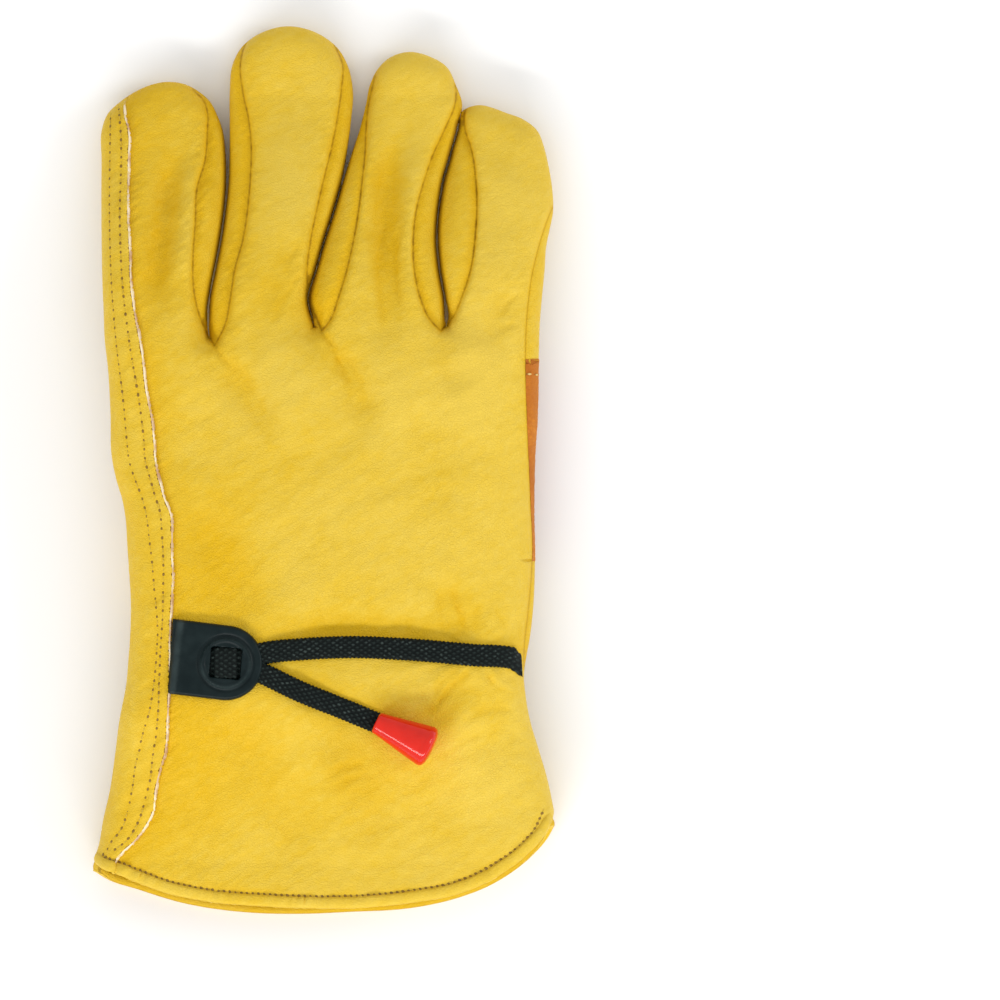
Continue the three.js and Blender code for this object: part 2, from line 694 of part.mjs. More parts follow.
// The tapered pull lies on the back at the end of the strap's tail.
function pullGeometry() {
  const narrow = PULL_NARROW / 2;
  const wide = PULL_WIDE / 2;
  const dome = 0.12 * PULL_LENGTH;
  const profile = [
    [0, 0], [narrow * 0.9, 0], [narrow, 0.05 * PULL_LENGTH], [wide * 0.99, PULL_LENGTH - dome],
    [wide * 0.93, PULL_LENGTH - dome * 0.5], [wide * 0.72, PULL_LENGTH - dome * 0.15], [0, PULL_LENGTH],
  ];
  return new THREE.LatheGeometry(profile.map(([r, h]) => new THREE.Vector2(r, h)), DISC_STEPS);
}

function placePull(mesh) {
  const direction = new THREE.Vector2(PULL_LENGTH, 0).rotateAround(new THREE.Vector2(), radians(PULL_TURN));
  const gap = new THREE.Vector2(SEAM_GAP, 0).rotateAround(new THREE.Vector2(), radians(PULL_TURN));
  const [across, at] = PULL_START;
  const start = [acrossMm(across) + gap.x, alongMm(at) + gap.y];
  const end = [start[0] + direction.x, start[1] + direction.y];
  const from = new THREE.Vector3(...start, backHeight(start) + SEAM_GAP + PULL_NARROW / 2);
  const to = new THREE.Vector3(...end, backHeight(end) + SEAM_GAP + PULL_WIDE / 2);
  mesh.quaternion.setFromUnitVectors(new THREE.Vector3(0, 1, 0), to.clone().sub(from).normalize());
  mesh.position.copy(from);
}

const LEATHER_LOOK = { color: 0xe6bf3c, roughness: 0.6, metalness: 0 };
const LOOKS = {
  leather: new THREE.MeshStandardMaterial(LEATHER_LOOK),
  suede: new THREE.MeshStandardMaterial({ color: 0xd6860a, roughness: 0.95, metalness: 0 }),
  tab: new THREE.MeshStandardMaterial({ color: 0x243238, roughness: 0.5, metalness: 0 }),
  webbing: new THREE.MeshStandardMaterial({ color: 0x101a19, roughness: 0.85, metalness: 0 }),
  pull: new THREE.MeshStandardMaterial({ color: 0xe1201c, roughness: 0.25, metalness: 0 }),
};

const glove = new THREE.Group();

// A cut along a seam can leave specks of leather behind, which are trimmed off.
function withoutSpecks(solid) {
  const bodies = solid.decompose();
  return bodies.filter((body) => body.volume() > SPECK).reduce((joined, body) => joined.add(body));
}

function addSolid(name, look, solid) {
  const { vertProperties, triVerts } = withoutSpecks(solid).getMesh();
  const geometry = new THREE.BufferGeometry();
  geometry.setAttribute("position", new THREE.BufferAttribute(vertProperties, 3));
  geometry.setIndex(new THREE.BufferAttribute(triVerts, 1));
  geometry.computeVertexNormals();
  const mesh = new THREE.Mesh(geometry, LOOKS[look]);
  mesh.name = name;
  glove.add(mesh);
  return mesh;
}

const palm = palmSide();
const middleRing = middleRingSpace();
addSolid("back_panel", "leather", backPanel());
for (const name of Object.keys(gussetSpaces)) addSolid(name, "leather", gusset(name));
addSolid("palm_panel", "leather", palm.subtract(middleRing).subtract(weltSeam).subtract(thumbHole(0)));
addSolid("middle_ring_palm", "leather", palm.intersect(middleRing).subtract(weltSeam));
addSolid("palm_welt", "leather", palmWelt());
addSolid("thumb", "leather", thumb());
addSolid("palm_patch", "suede", palmPatch());
addSolid("back_hem", "leather", hem(lines.backHem).intersect(upper));
addSolid("palm_hem", "leather", hem(lines.palmHem).subtract(above));
addSolid("closure_tab", "tab", closureTab());
addSolid("strap", "webbing", strap());
addSolid("strap_in_window", "webbing", strapInWindow());
const pull = addSolid("strap_pull", "pull", solidOfGeometry(pullGeometry()));
placePull(pull);

// The origin is the middle of the glove's footprint, on the resting plane.
const extent = new THREE.Box3().setFromObject(glove);
const middlePoint = extent.getCenter(new THREE.Vector3());
for (const mesh of glove.children) mesh.position.sub(new THREE.Vector3(middlePoint.x, middlePoint.y, 0));

export default glove;
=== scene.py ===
"""A right-hand leather work glove, lying palm down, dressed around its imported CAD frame."""
import math
from functools import lru_cache

import bmesh
import bpy
import numpy as np
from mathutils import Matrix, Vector, geometry, kdtree
from bpy.props import FloatProperty, FloatVectorProperty, IntProperty, PointerProperty


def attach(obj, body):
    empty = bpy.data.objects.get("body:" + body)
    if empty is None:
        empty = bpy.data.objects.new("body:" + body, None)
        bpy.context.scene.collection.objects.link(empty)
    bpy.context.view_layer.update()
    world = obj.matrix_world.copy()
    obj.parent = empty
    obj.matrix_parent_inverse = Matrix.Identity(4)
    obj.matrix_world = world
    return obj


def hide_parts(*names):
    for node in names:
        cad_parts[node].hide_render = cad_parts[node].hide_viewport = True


bl_info = {
    "name": "Leather Work Glove",
    "version": (1, 0, 0),
    "blender": (4, 5, 0),
    "location": "3D View > Sidebar > Glove",
    "description": "Builds a leather work glove with its seams, strap and suede palm patch",
    "category": "Object",
}

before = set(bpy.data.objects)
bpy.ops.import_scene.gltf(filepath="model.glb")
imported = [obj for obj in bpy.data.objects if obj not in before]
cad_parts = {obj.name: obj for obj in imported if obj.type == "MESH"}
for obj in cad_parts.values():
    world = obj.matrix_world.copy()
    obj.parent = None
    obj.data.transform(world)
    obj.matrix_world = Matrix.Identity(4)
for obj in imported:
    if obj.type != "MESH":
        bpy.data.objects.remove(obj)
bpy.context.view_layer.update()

MM = 0.001
GLOVE_LENGTH = 255.0
PALM_WIDTH = 123.2
CUFF_Y = -127.37
SIDE_SHIFT = -0.536
HAND_DEPTH = 17.0
FINGER_DEPTH = 15.5
REST_FLAT = 0.6
PALM_LIFT = 15.0
SECTION_POWER = 2.3
SEED = 11

# Finger outlines in millimetres: the left side upwards, the tip, the right side downwards.
FINGERS = {
    "index": {
        "left": [(-62.8, 37.8), (-63.1, 46.1), (-63.4, 51.8), (-63.7, 61.8), (-63.9, 71.9), (-64.0, 80.5),
                 (-64.0, 89.1), (-64.0, 97.7), (-62.6, 102.0), (-58.3, 106.3), (-54.0, 109.1), (-49.7, 110.9)],
        "tip": (-45.1, 111.7),
        "right": [(-39.9, 110.9), (-36.5, 109.1), (-33.2, 106.3), (-30.8, 102.0), (-29.3, 97.7),
                  (-28.3, 89.1), (-28.3, 80.5), (-29.1, 71.9), (-30.7, 61.8), (-32.6, 51.8), (-33.4, 46.1),
                  (-33.3, 40.3)],
    },
    "middle": {
        "left": [(-32.9, 41.8), (-32.7, 48.9), (-31.1, 57.5), (-29.5, 66.1), (-28.3, 74.7), (-27.5, 83.3),
                 (-27.3, 91.9), (-27.3, 100.5), (-27.3, 109.1), (-26.5, 116.6), (-24.2, 121.2),
                 (-19.9, 124.9), (-16.2, 126.6)],
        "tip": (-11.9, 127.6),
        "right": [(-4.4, 126.6), (-0.7, 124.9), (3.8, 121.2), (6.5, 116.6), (8.1, 109.1), (7.6, 100.5),
                  (6.5, 91.9), (5.0, 83.3), (2.6, 74.7), (-0.1, 66.1), (-2.5, 57.5), (-4.8, 48.9),
                  (-3.7, 43.8)],
    },
    "ring": {
        "left": [(-3.2, 43.2), (-4.4, 48.9), (-2.1, 57.5), (0.3, 66.1), (3.0, 74.7), (5.4, 83.3),
                 (7.6, 90.5), (10.1, 98.2), (11.9, 105.7), (12.9, 110.6), (15.7, 116.0), (19.1, 118.9)],
        "tip": (24.2, 120.3),
        "right": [(30.3, 118.9), (35.0, 116.0), (37.7, 110.6), (39.4, 105.7), (37.9, 98.2), (35.8, 90.5),
                  (33.8, 83.3), (32.5, 74.7), (32.0, 66.1), (32.8, 57.5), (34.3, 48.9), (34.6, 43.2)],
    },
    "little": {
        "left": [(35.4, 43.2), (34.5, 50.1), (33.3, 57.3), (32.6, 64.4), (32.5, 69.3), (32.8, 73.9),
                 (33.5, 78.8), (34.3, 83.3), (35.7, 88.2), (36.9, 93.1), (38.2, 97.4), (38.8, 101.1),
                 (39.1, 102.8), (41.2, 104.3)],
        "tip": (44.9, 105.0),
        "right": [(48.0, 104.3), (52.0, 102.8), (56.6, 101.1), (61.2, 97.4), (62.9, 93.1), (64.1, 88.2),
                  (65.0, 83.3), (65.5, 78.8), (65.5, 73.9), (64.6, 69.3), (63.6, 64.4), (63.1, 57.3),
                  (62.4, 50.1), (61.8, 43.2)],
    },
}
CROTCHES = [(-32.9, 38.0), (-2.9, 41.0), (34.9, 41.2)]
INDEX_SIDE = [(-66.0, -112.2), (-65.9, -111.0), (-64.9, -107.9), (-63.4, -99.8), (-61.4, -91.2),
              (-60.0, -81.8), (-58.6, -71.5), (-56.5, -60.3), (-56.0, -54.3), (-55.5, -47.7),
              (-55.3, -37.1), (-55.7, -29.9), (-56.3, -21.3), (-56.8, -13.6), (-57.7, -8.4), (-59.4, -2.7),
              (-60.7, 3.6), (-61.1, 16.3), (-61.8, 28.9)]
LITTLE_SIDE = [(61.4, 30.9), (61.1, 16.3), (60.3, 2.8), (60.1, -10.1), (60.3, -29.3), (59.9, -38.5),
               (58.9, -47.7), (57.7, -54.3), (57.2, -58.0), (57.7, -64.6), (59.0, -71.8), (61.2, -79.2),
               (64.1, -89.2), (65.4, -95.5), (65.8, -97.8), (65.5, -99.6)]
INDEX_CORNER = (-66.4, -114.8)
LITTLE_CORNER = (65.9, -101.6)

# Seams on the back, each from the cuff or the crotch upwards.
RAW_EDGE = [(-60.2, -117.0), (-60.0, -115.0), (-59.8, -112.2), (-57.7, -109.3), (-54.3, -106.2),
            (-51.1, -102.1), (-48.9, -97.8), (-48.0, -91.2), (-46.8, -86.1), (-45.1, -79.8), (-44.6, -72.3),
            (-44.1, -63.2), (-43.7, -42.5), (-43.3, -36.8), (-42.9, -30.2), (-43.3, -23.6), (-43.2, -18.4),
            (-43.7, -12.1), (-45.2, -8.3), (-46.3, -4.4), (-47.7, 1.1), (-48.3, 7.1), (-49.0, 14.5),
            (-50.1, 20.3), (-52.3, 36.3), (-53.1, 40.3), (-54.1, 46.1), (-54.8, 51.8), (-55.4, 61.8),
            (-56.0, 71.9), (-56.0, 80.5), (-56.0, 89.1), (-56.0, 97.7), (-57.2, 102.0), (-57.2, 106.3),
            (-55.6, 110.0)]
SEAMS = {
    "index_right": [(-31.3, 35.7), (-33.9, 40.3), (-36.1, 46.1), (-37.2, 51.8), (-37.4, 61.8),
                    (-36.8, 71.9), (-36.5, 80.5), (-34.2, 89.1), (-33.6, 97.7), (-33.5, 102.0),
                    (-34.8, 106.3), (-37.4, 109.1), (-38.8, 112.5)],
    "middle_left": [(-31.3, 35.7), (-28.2, 41.8), (-26.8, 48.9), (-25.5, 57.5), (-23.2, 66.1),
                    (-21.9, 74.7), (-21.2, 83.3), (-20.9, 91.9), (-21.7, 100.5), (-23.5, 109.1),
                    (-24.2, 116.6), (-23.3, 121.2), (-21.4, 126.0)],
    "middle_right": [(-0.7, 39.9), (-1.4, 41.8), (-4.1, 48.9), (-4.8, 57.5), (-3.8, 66.1), (-2.1, 74.7),
                     (-0.2, 83.3), (1.9, 91.9), (3.6, 100.5), (4.8, 109.1), (5.1, 116.6), (3.6, 120.6),
                     (1.6, 125.6)],
    "ring_left": [(-0.7, 39.9), (1.9, 43.2), (4.0, 48.9), (6.6, 57.5), (8.5, 66.1), (9.9, 74.7),
                  (10.9, 83.3), (11.6, 90.5), (11.9, 98.2), (12.7, 105.7), (13.9, 110.9), (15.0, 118.0)],
    "ring_right": [(33.4, 39.9), (30.3, 43.2), (27.7, 48.9), (25.8, 57.5), (25.5, 66.1), (26.4, 74.7),
                   (28.7, 83.3), (31.1, 90.5), (34.6, 98.2), (37.4, 105.1), (37.6, 113.0)],
    "little_left": [(33.4, 39.9), (36.4, 43.2), (39.6, 50.1), (41.9, 57.3), (43.0, 64.4), (43.4, 69.3),
                    (43.7, 73.9), (43.7, 78.8), (43.4, 83.3), (42.9, 88.2), (41.9, 93.1), (40.4, 97.4),
                    (40.0, 100.8), (40.8, 106.0)],
}
LITTLE_SEAM = [(61.5, -66.0), (58.2, -60.5), (57.2, -55.0), (57.3, -50.0), (58.4, -40.0), (59.3, -30.0),
               (59.6, -21.9), (59.1, -10.1), (58.5, 4.2), (57.9, 18.5), (57.6, 31.7), (57.8, 40.6),
               (58.4, 48.0), (59.5, 56.0), (61.4, 64.0), (63.8, 71.6), (67.0, 79.0)]
BACK_EDGE = [(-66.0, -112.2), (-63.8, -113.9), (-60.6, -115.0), (-54.0, -117.6), (-45.2, -120.8),
             (-32.2, -123.4), (-19.0, -124.5), (-7.0, -125.1), (2.8, -125.2), (15.1, -124.7),
             (27.4, -123.2), (37.4, -121.3), (46.3, -117.8), (52.2, -114.3), (58.1, -109.9),
             (63.1, -104.4), (65.5, -99.6)]
PALM_EDGE = [(-66.4, -114.8), (-62.9, -117.2), (-54.0, -120.2), (-40.8, -124.2), (-27.6, -126.4),
             (-19.0, -127.1), (-7.0, -127.3), (7.9, -126.7), (22.5, -125.9), (27.5, -125.2),
             (38.9, -122.5), (47.5, -119.1), (53.8, -115.3), (59.5, -110.7), (64.1, -105.3),
             (65.9, -101.6)]
OUTER_ROW = [(-62.9, -110.7), (-61.4, -107.0), (-58.1, -102.7), (-56.3, -97.8), (-54.8, -91.2),
             (-53.9, -84.7), (-52.7, -79.8), (-51.5, -74.6), (-49.8, -68.9), (-48.4, -60.3),
             (-47.7, -52.3), (-47.4, -45.7), (-47.7, -40.2), (-48.3, -34.5), (-48.8, -27.9),
             (-49.7, -19.9), (-50.7, -12.1), (-52.0, -7.3), (-53.8, -2.7), (-55.4, 2.2), (-56.3, 9.4),
             (-57.1, 18.5), (-59.4, 37.5), (-60.6, 51.8), (-61.4, 71.0), (-61.4, 101.0)]
INNER_ROW = [(-59.8, -108.4), (-56.3, -105.6), (-54.3, -102.7), (-52.2, -98.1), (-51.0, -93.5),
             (-49.6, -88.1), (-48.9, -81.8), (-48.0, -76.1), (-47.2, -68.0), (-47.0, -61.7),
             (-46.7, -53.7), (-45.9, -40.2), (-45.8, -34.5), (-45.7, -27.3), (-46.1, -18.7),
             (-46.8, -11.3), (-48.1, -7.3), (-49.4, -2.7), (-50.8, 2.2), (-51.4, 9.4), (-52.5, 18.5),
             (-55.4, 36.0), (-57.4, 51.8), (-58.4, 71.0), (-58.4, 97.4), (-59.0, 103.7)]
WELT = [(-32.0, 44.0), (-30.5, 40.5), (-27.6, 37.1), (-19.9, 34.8), (-6.9, 34.0), (10.2, 33.8),
        (24.1, 34.6), (30.3, 37.1), (33.4, 40.9), (34.6, 45.5)]
PATCH = [(-36.2, 30.7), (-0.5, 29.5), (31.5, 31.0), (75.0, 31.9), (75.0, -25.9), (61.8, -25.1),
         (10.2, -6.2), (-37.5, 7.8)]
PATCH_ENDS = (31.4, -25.4)
PATCH_LAP = 0.5

# How high the hand is above its underside at shares of the length: underside, upper side and crown
# as shares of the hand's depth.
HAND_STATIONS = [(-0.05, 0.0, 1.3, 0.04), (0.048, 0.0, 1.28, 0.04), (0.096, 0.0, 1.24, 0.05),
                 (0.133, 0.0, 1.18, 0.06), (0.163, 0.0, 1.1, 0.06), (0.207, 0.0, 1.0, 0.08),
                 (0.253, 0.0, 0.92, 0.1), (0.29, 0.0, 0.87, 0.1), (0.332, 0.0, 0.88, 0.12),
                 (0.381, 0.0, 0.88, 0.14), (0.489, 0.0, 0.88, 0.14), (0.545, 0.0, 0.87, 0.12),
                 (0.596, 0.0, 0.88, 0.08), (0.66, 0.0, 0.9, 0.0)]
LIFT_STATIONS = [(0.06, 0.0), (0.11, 0.16), (0.18, 0.58), (0.25, 0.96), (0.3, 1.0), (0.63, 1.0),
                 (0.7, 0.9), (0.78, 0.55), (0.86, 0.18), (0.92, 0.0)]
DROOP = (0.3, 0.52, 0.45)

# Folds of the back: a line, its reach to either side and its height in millimetres.
FOLDS = [
    ([(-31.0, 35.5), (-26.0, 28.0), (-20.0, 20.0), (-14.0, 8.0)], 4.4, -1.9),
    ([(-0.6, 39.5), (4.0, 33.0), (9.5, 24.0), (15.0, 10.0)], 4.4, -1.9),
    ([(33.6, 40.0), (36.0, 32.0), (38.5, 20.0)], 4.8, -1.5),
    ([(-20.0, -47.5), (-2.0, -45.5), (24.0, -45.5), (46.0, -47.0)], 5.0, -2.3),
    ([(44.5, -48.0), (38.0, -40.0), (34.0, -28.0)], 5.5, -1.6),
    ([(44.0, -55.0), (37.0, -64.0), (26.0, -76.0)], 5.5, -2.2),
    ([(46.0, -57.0), (49.0, -70.0), (47.0, -88.0)], 6.0, -1.2),
    ([(22.5, 104.0), (19.0, 88.0), (17.4, 72.0), (18.2, 54.0), (19.0, 34.0)], 4.2, -3.2),
    ([(-41.8, 96.0), (-43.6, 86.0), (-45.4, 73.0), (-47.2, 58.0), (-48.5, 42.0)], 3.8, -3.2),
    ([(-32.0, -62.0), (-18.0, -82.0), (-4.0, -114.0)], 9.0, -1.8),
    ([(-6.0, -62.0), (8.0, -84.0), (22.0, -114.0)], 8.0, -1.4),
    ([(22.0, -78.0), (30.0, -92.0), (36.0, -112.0)], 8.0, -1.2),
    ([(-46.0, 4.0), (-42.0, -24.0), (-41.5, -60.0)], 6.5, 1.0),
    ([(44.0, 48.0), (43.0, 26.0), (42.0, 4.0)], 8.0, 1.0),
    ([(14.0, 46.0), (17.0, 26.0), (20.0, 2.0)], 8.0, 1.0),
    ([(-16.0, 46.0), (-12.0, 28.0), (-8.0, 4.0)], 8.0, 1.1),
    ([(-44.0, 56.0), (-40.0, 36.0), (-36.0, 10.0)], 7.0, 0.9),
    ([(36.0, 94.0), (50.0, 84.0), (60.0, 74.0)], 5.0, 0.7),
    ([(-18.0, -44.0), (-26.0, -28.0), (-36.0, -8.0)], 8.0, -1.5),
    ([(56.0, 54.0), (49.0, 44.0), (42.0, 34.0)], 5.0, -1.3),
    ([(-8.0, 70.0), (-13.0, 56.0), (-17.0, 42.0)], 5.0, -1.1),
    ([(-12.0, 108.0), (-12.0, 86.0), (-11.0, 58.0)], 7.0, 0.9),
    ([(29.0, 100.0), (26.0, 80.0), (25.0, 52.0)], 3.6, 0.9),
    ([(10.0, 98.0), (8.5, 82.0), (8.0, 58.0)], 3.2, 0.7),
    ([(-39.0, 94.0), (-39.5, 76.0), (-40.5, 50.0)], 3.8, 1.0),
    ([(30.0, -20.0), (34.0, 0.0), (32.0, 24.0)], 9.0, -0.9),
]
# Thin wrinkles of the back, as lines with their reach and depth.
WRINKLES = [
    ([(-0.6, 39.5), (2.3, 36.0), (5.0, 29.5), (8.0, 24.0)], 0.8, -0.55),
    ([(-31.3, 35.4), (-28.0, 31.5), (-24.5, 28.0)], 0.9, -0.5),
    ([(-29.0, 33.0), (-23.0, 27.5), (-20.0, 20.5)], 0.8, -0.3),
    ([(4.6, 33.5), (8.5, 29.0), (12.0, 22.0)], 0.8, -0.25),
    ([(21.5, 46.5), (20.6, 54.0), (20.3, 62.0), (22.0, 70.0)], 0.7, -0.45),
    ([(16.9, 42.0), (15.6, 54.0), (16.2, 64.0), (18.0, 72.0)], 0.7, -0.4),
    ([(48.5, 42.0), (52.0, 47.5), (56.0, 51.5)], 0.8, -0.35),
    ([(46.5, 37.0), (51.0, 41.0), (56.0, 42.0)], 0.8, -0.3),
    ([(49.5, 53.5), (52.5, 56.5), (55.0, 60.0)], 0.7, -0.3),
    ([(-14.5, 42.0), (-11.0, 50.0), (-6.5, 56.5)], 0.8, -0.35),
    ([(-12.0, 57.0), (-9.0, 62.0), (-7.5, 66.5)], 0.7, -0.3),
    ([(41.0, -46.0), (38.5, -40.0), (36.5, -33.0)], 0.8, -0.55),
    ([(43.5, -46.7), (43.1, -44.0), (43.5, -39.8), (44.2, -36.0)], 0.7, -0.4),
    ([(52.3, -46.2), (50.4, -42.0), (48.3, -37.1)], 0.7, -0.3),
    ([(34.0, -45.5), (33.0, -39.0), (33.5, -33.0)], 0.8, -0.4),
    ([(41.5, -57.0), (36.0, -62.0), (33.0, -66.0), (28.0, -70.5)], 0.8, -0.65),
    ([(39.0, -57.0), (34.5, -59.5), (31.0, -65.0)], 0.8, -0.5),
    ([(46.0, -57.5), (50.0, -62.0), (54.0, -63.5)], 0.7, -0.4),
    ([(54.0, -68.0), (46.0, -68.5), (39.0, -72.5)], 0.9, -0.45),
    ([(52.0, -74.0), (44.0, -75.5), (37.0, -78.5)], 0.9, -0.35),
    ([(12.0, -84.0), (6.0, -84.5), (0.0, -88.5)], 0.9, -0.4),
    ([(15.0, -86.5), (8.0, -88.0), (2.0, -92.0)], 0.9, -0.35),
]
PULL_IN = (44.0, -51.4)

THUMB_ROOT = (-32.2, -25.6)
THUMB_ANGLE = math.radians(45.6)
THUMB_LENGTH = 79.0
THUMB_DEPTH = 12.0
THUMB_OUTLINE = [(-24.0, 0.0), (-22.6, 8.5), (-19.5, 14.5), (-8.0, 21.5), (12.0, 22.6), (32.0, 18.9),
                 (51.0, 16.1), (64.0, 14.8), (72.0, 11.5), (77.2, 6.0), (79.0, 0.0)]
THUMB_HOLE = (19.0, 15.0)

TAB_CENTRE = (-27.95, -54.9)
TAB_TURN = math.radians(-7.0)
RUN = [(-19.0, -52.6), (-17.3, -52.2), (-6.4, -51.0), (6.5, -50.4), (24.8, -51.1), (43.0, -52.7),
       (53.6, -53.6), (56.6, -54.6)]
TAIL = [(-19.0, -57.2), (-16.6, -58.3), (-6.4, -63.2), (4.8, -67.7), (15.6, -72.2)]
PULL_TURN = math.radians(-25.4)


def place_on_photo(across, down):
    """A point of the 1000 by 1000 picture, on the glove's plane, in millimetres."""
    return (across - 322.5) * PALM_WIDTH / 430 + SIDE_SHIFT, (915 - down) * GLOVE_LENGTH / 889.5 + CUFF_Y


# Curves and distances

def smoothstep(value, start, end):
    share = np.clip((value - start) / (end - start), 0, 1)
    return share * share * (3 - 2 * share)


def spline(points, step):
    """A smooth curve through the points, resampled evenly."""
    p = np.asarray(points, float)
    if len(p) == 2:
        p = np.vstack([p[0], p.mean(0), p[1]])
    run = np.linalg.norm(np.diff(p, axis=0), axis=1)
    slope = np.diff(p, axis=0) / run[:, None]
    tangent = np.empty_like(p)
    weight = run[:-1] / (run[:-1] + run[1:])
    tangent[1:-1] = slope[:-1] * (1 - weight)[:, None] + slope[1:] * weight[:, None]
    tangent[0], tangent[-1] = slope[0], slope[-1]
    fine = []
    for i, length in enumerate(run):
        t = np.linspace(0, 1, max(int(length / step * 4), 6), endpoint=False)[:, None]
        fine.append((2 * t**3 - 3 * t**2 + 1) * p[i] + (t**3 - 2 * t**2 + t) * length * tangent[i]
                    + (3 * t**2 - 2 * t**3) * p[i + 1] + (t**3 - t**2) * length * tangent[i + 1])
    return resample(np.vstack(fine + [p[-1:]]), step)


def resample(points, step):
    length = np.concatenate([[0], np.cumsum(np.linalg.norm(np.diff(points, axis=0), axis=1))])
    even = np.linspace(0, length[-1], max(int(round(length[-1] / step)), 1) + 1)
    return np.column_stack([np.interp(even, length, points[:, k]) for k in range(points.shape[1])])


class Lines:
    """Distances from points to a set of polylines."""

    def __init__(self, polylines, sample=0.3):
        self.a = np.vstack([np.asarray(line)[:-1] for line in polylines])
        self.b = np.vstack([np.asarray(line)[1:] for line in polylines])
        self.line = np.concatenate([np.full(len(line) - 1, i) for i, line in enumerate(polylines)])
        self.length = np.linalg.norm(self.b - self.a, axis=1)
        self.start = np.concatenate([
            np.concatenate([[0], np.cumsum(np.linalg.norm(np.diff(line, axis=0), axis=1))[:-1]])
            for line in polylines])
        places, owners = [], []
        for i, length in enumerate(self.length):
            count = max(int(length / sample), 1)
            for share in (np.arange(count) + 0.5) / count:
                places.append(self.a[i] + (self.b[i] - self.a[i]) * share)
                owners.append(i)
        self.owner = np.array(owners)
        self.tree = kdtree.KDTree(len(places))
        for i, place in enumerate(places):
            self.tree.insert((place[0], place[1], 0), i)
        self.tree.balance()

    def nearest(self, xy):
        """Distance, side (positive to the left), length along the line and the line's number."""
        found = np.array([self.tree.find((x, y, 0))[1] for x, y in xy])
        first = self.owner[found]
        best = np.full(len(xy), 1e9)
        side = np.ones(len(xy))
        along = np.zeros(len(xy))
        for shift in (0, -1, 1):
            seg = np.clip(first + shift, 0, len(self.a) - 1)
            run = self.b[seg] - self.a[seg]
            away = xy - self.a[seg]
            share = np.clip((away * run).sum(1) / (self.length[seg] ** 2 + 1e-12), 0, 1)
            gap = np.linalg.norm(away - run * share[:, None], axis=1)
            closer = (gap < best - 1e-9) & (self.line[seg] == self.line[first])
            best[closer] = gap[closer]
            turn = run[:, 0] * away[:, 1] - run[:, 1] * away[:, 0]
            side[closer] = np.where(turn >= 0, 1, -1)[closer]
            along[closer] = (self.start[seg] + share * self.length[seg])[closer]
        return best, side, along, self.line[first]


def inside(polygon, xy):
    """Whether each point is inside a polygon."""
    result = np.zeros(len(xy), bool)
    x, y = xy[:, 0], xy[:, 1]
    for (ax, ay), (bx, by) in zip(polygon, np.roll(polygon, -1, axis=0)):
        if ay == by:
            continue
        crosses = (ay > y) != (by > y)
        result ^= crosses & (x < (bx - ax) * (y - ay) / (by - ay) + ax)
    return result


def noise(x, y, seed):
    """Smooth gradient noise between about -1 and 1, one bump for each unit of length."""
    x0, y0 = np.floor(x).astype(np.int64), np.floor(y).astype(np.int64)
    fx, fy = x - x0, y - y0

    def corner(dx, dy):
        mixed = ((x0 + dx) * 374761393 + (y0 + dy) * 668265263 + seed * 974634777) & 0xFFFFFFFF
        mixed = ((mixed ^ (mixed >> 13)) * 1274126177) & 0xFFFFFFFF
        angle = (mixed ^ (mixed >> 16)) / 4294967296 * 2 * np.pi
        return np.cos(angle) * (fx - dx) + np.sin(angle) * (fy - dy)

    u = fx * fx * fx * (fx * (6 * fx - 15) + 10)
    v = fy * fy * fy * (fy * (6 * fy - 15) + 10)
    low = corner(0, 0) * (1 - u) + corner(1, 0) * u
    high = corner(0, 1) * (1 - u) + corner(1, 1) * u
    return 1.5 * (low * (1 - v) + high * v)


# The glove's outline and surface

@lru_cache(None)
def outline_parts():
    """The closed sides of the glove, from the cuff's index corner round the fingertips to the other."""
    step = 0.7
    index, middle, ring, little = (FINGERS[name] for name in ("index", "middle", "ring", "little"))
    runs = [
        INDEX_SIDE + index["left"] + [index["tip"]] + index["right"] + [CROTCHES[0]],
        [CROTCHES[0]] + middle["left"] + [middle["tip"]] + middle["right"] + [CROTCHES[1]],
        [CROTCHES[1]] + ring["left"] + [ring["tip"]] + ring["right"] + [CROTCHES[2]],
        [CROTCHES[2]] + little["left"] + [little["tip"]] + little["right"] + LITTLE_SIDE,
    ]
    curves = [spline(run, step) for run in runs]
    return np.vstack([curves[0]] + [curve[1:] for curve in curves[1:]])


@lru_cache(None)
def side_lines():
    sides = outline_parts()
    first = np.array([INDEX_CORNER, (-67.0, -124.0)])[::-1]
    last = np.array([LITTLE_CORNER, (65.4, -112.0)])
    return Lines([np.vstack([first, sides, last])])


@lru_cache(None)
def finger_gaps():
    """Middle lines between neighbouring fingers, as functions of the length."""
    gaps = []
    for left, right in (("index", "middle"), ("middle", "ring"), ("ring", "little")):
        a = np.array(FINGERS[left]["right"][::-1])
        b = np.array(FINGERS[right]["left"])
        ys = np.linspace(40, 100, 25)
        gaps.append((ys, (np.interp(ys, a[:, 1], a[:, 0]) + np.interp(ys, b[:, 1], b[:, 0])) / 2))
    return gaps


def finger_of(xy):
    """The number of the finger that a point belongs to, from 0 at the index finger."""
    number = np.zeros(len(xy), int)
    for ys, xs in finger_gaps():
        number += (xy[:, 0] > np.interp(xy[:, 1], ys, xs)).astype(int)
    return number


@lru_cache(None)
def lift_curve():
    return spline([(share * 100, lift * 20) for share, lift in LIFT_STATIONS], 0.5) / (100, 20)


def lift_at(xy):
    """How far the folded thumb holds the glove off the table."""
    curve = lift_curve()
    share = (xy[:, 1] - CUFF_Y) / GLOVE_LENGTH
    lift = np.clip(np.interp(share, curve[:, 0], curve[:, 1]), 0, 1)
    start, end, drop = DROOP
    droop = smoothstep((xy[:, 0] - SIDE_SHIFT) / PALM_WIDTH, start, end) * drop
    return PALM_LIFT * lift * (1 - droop)


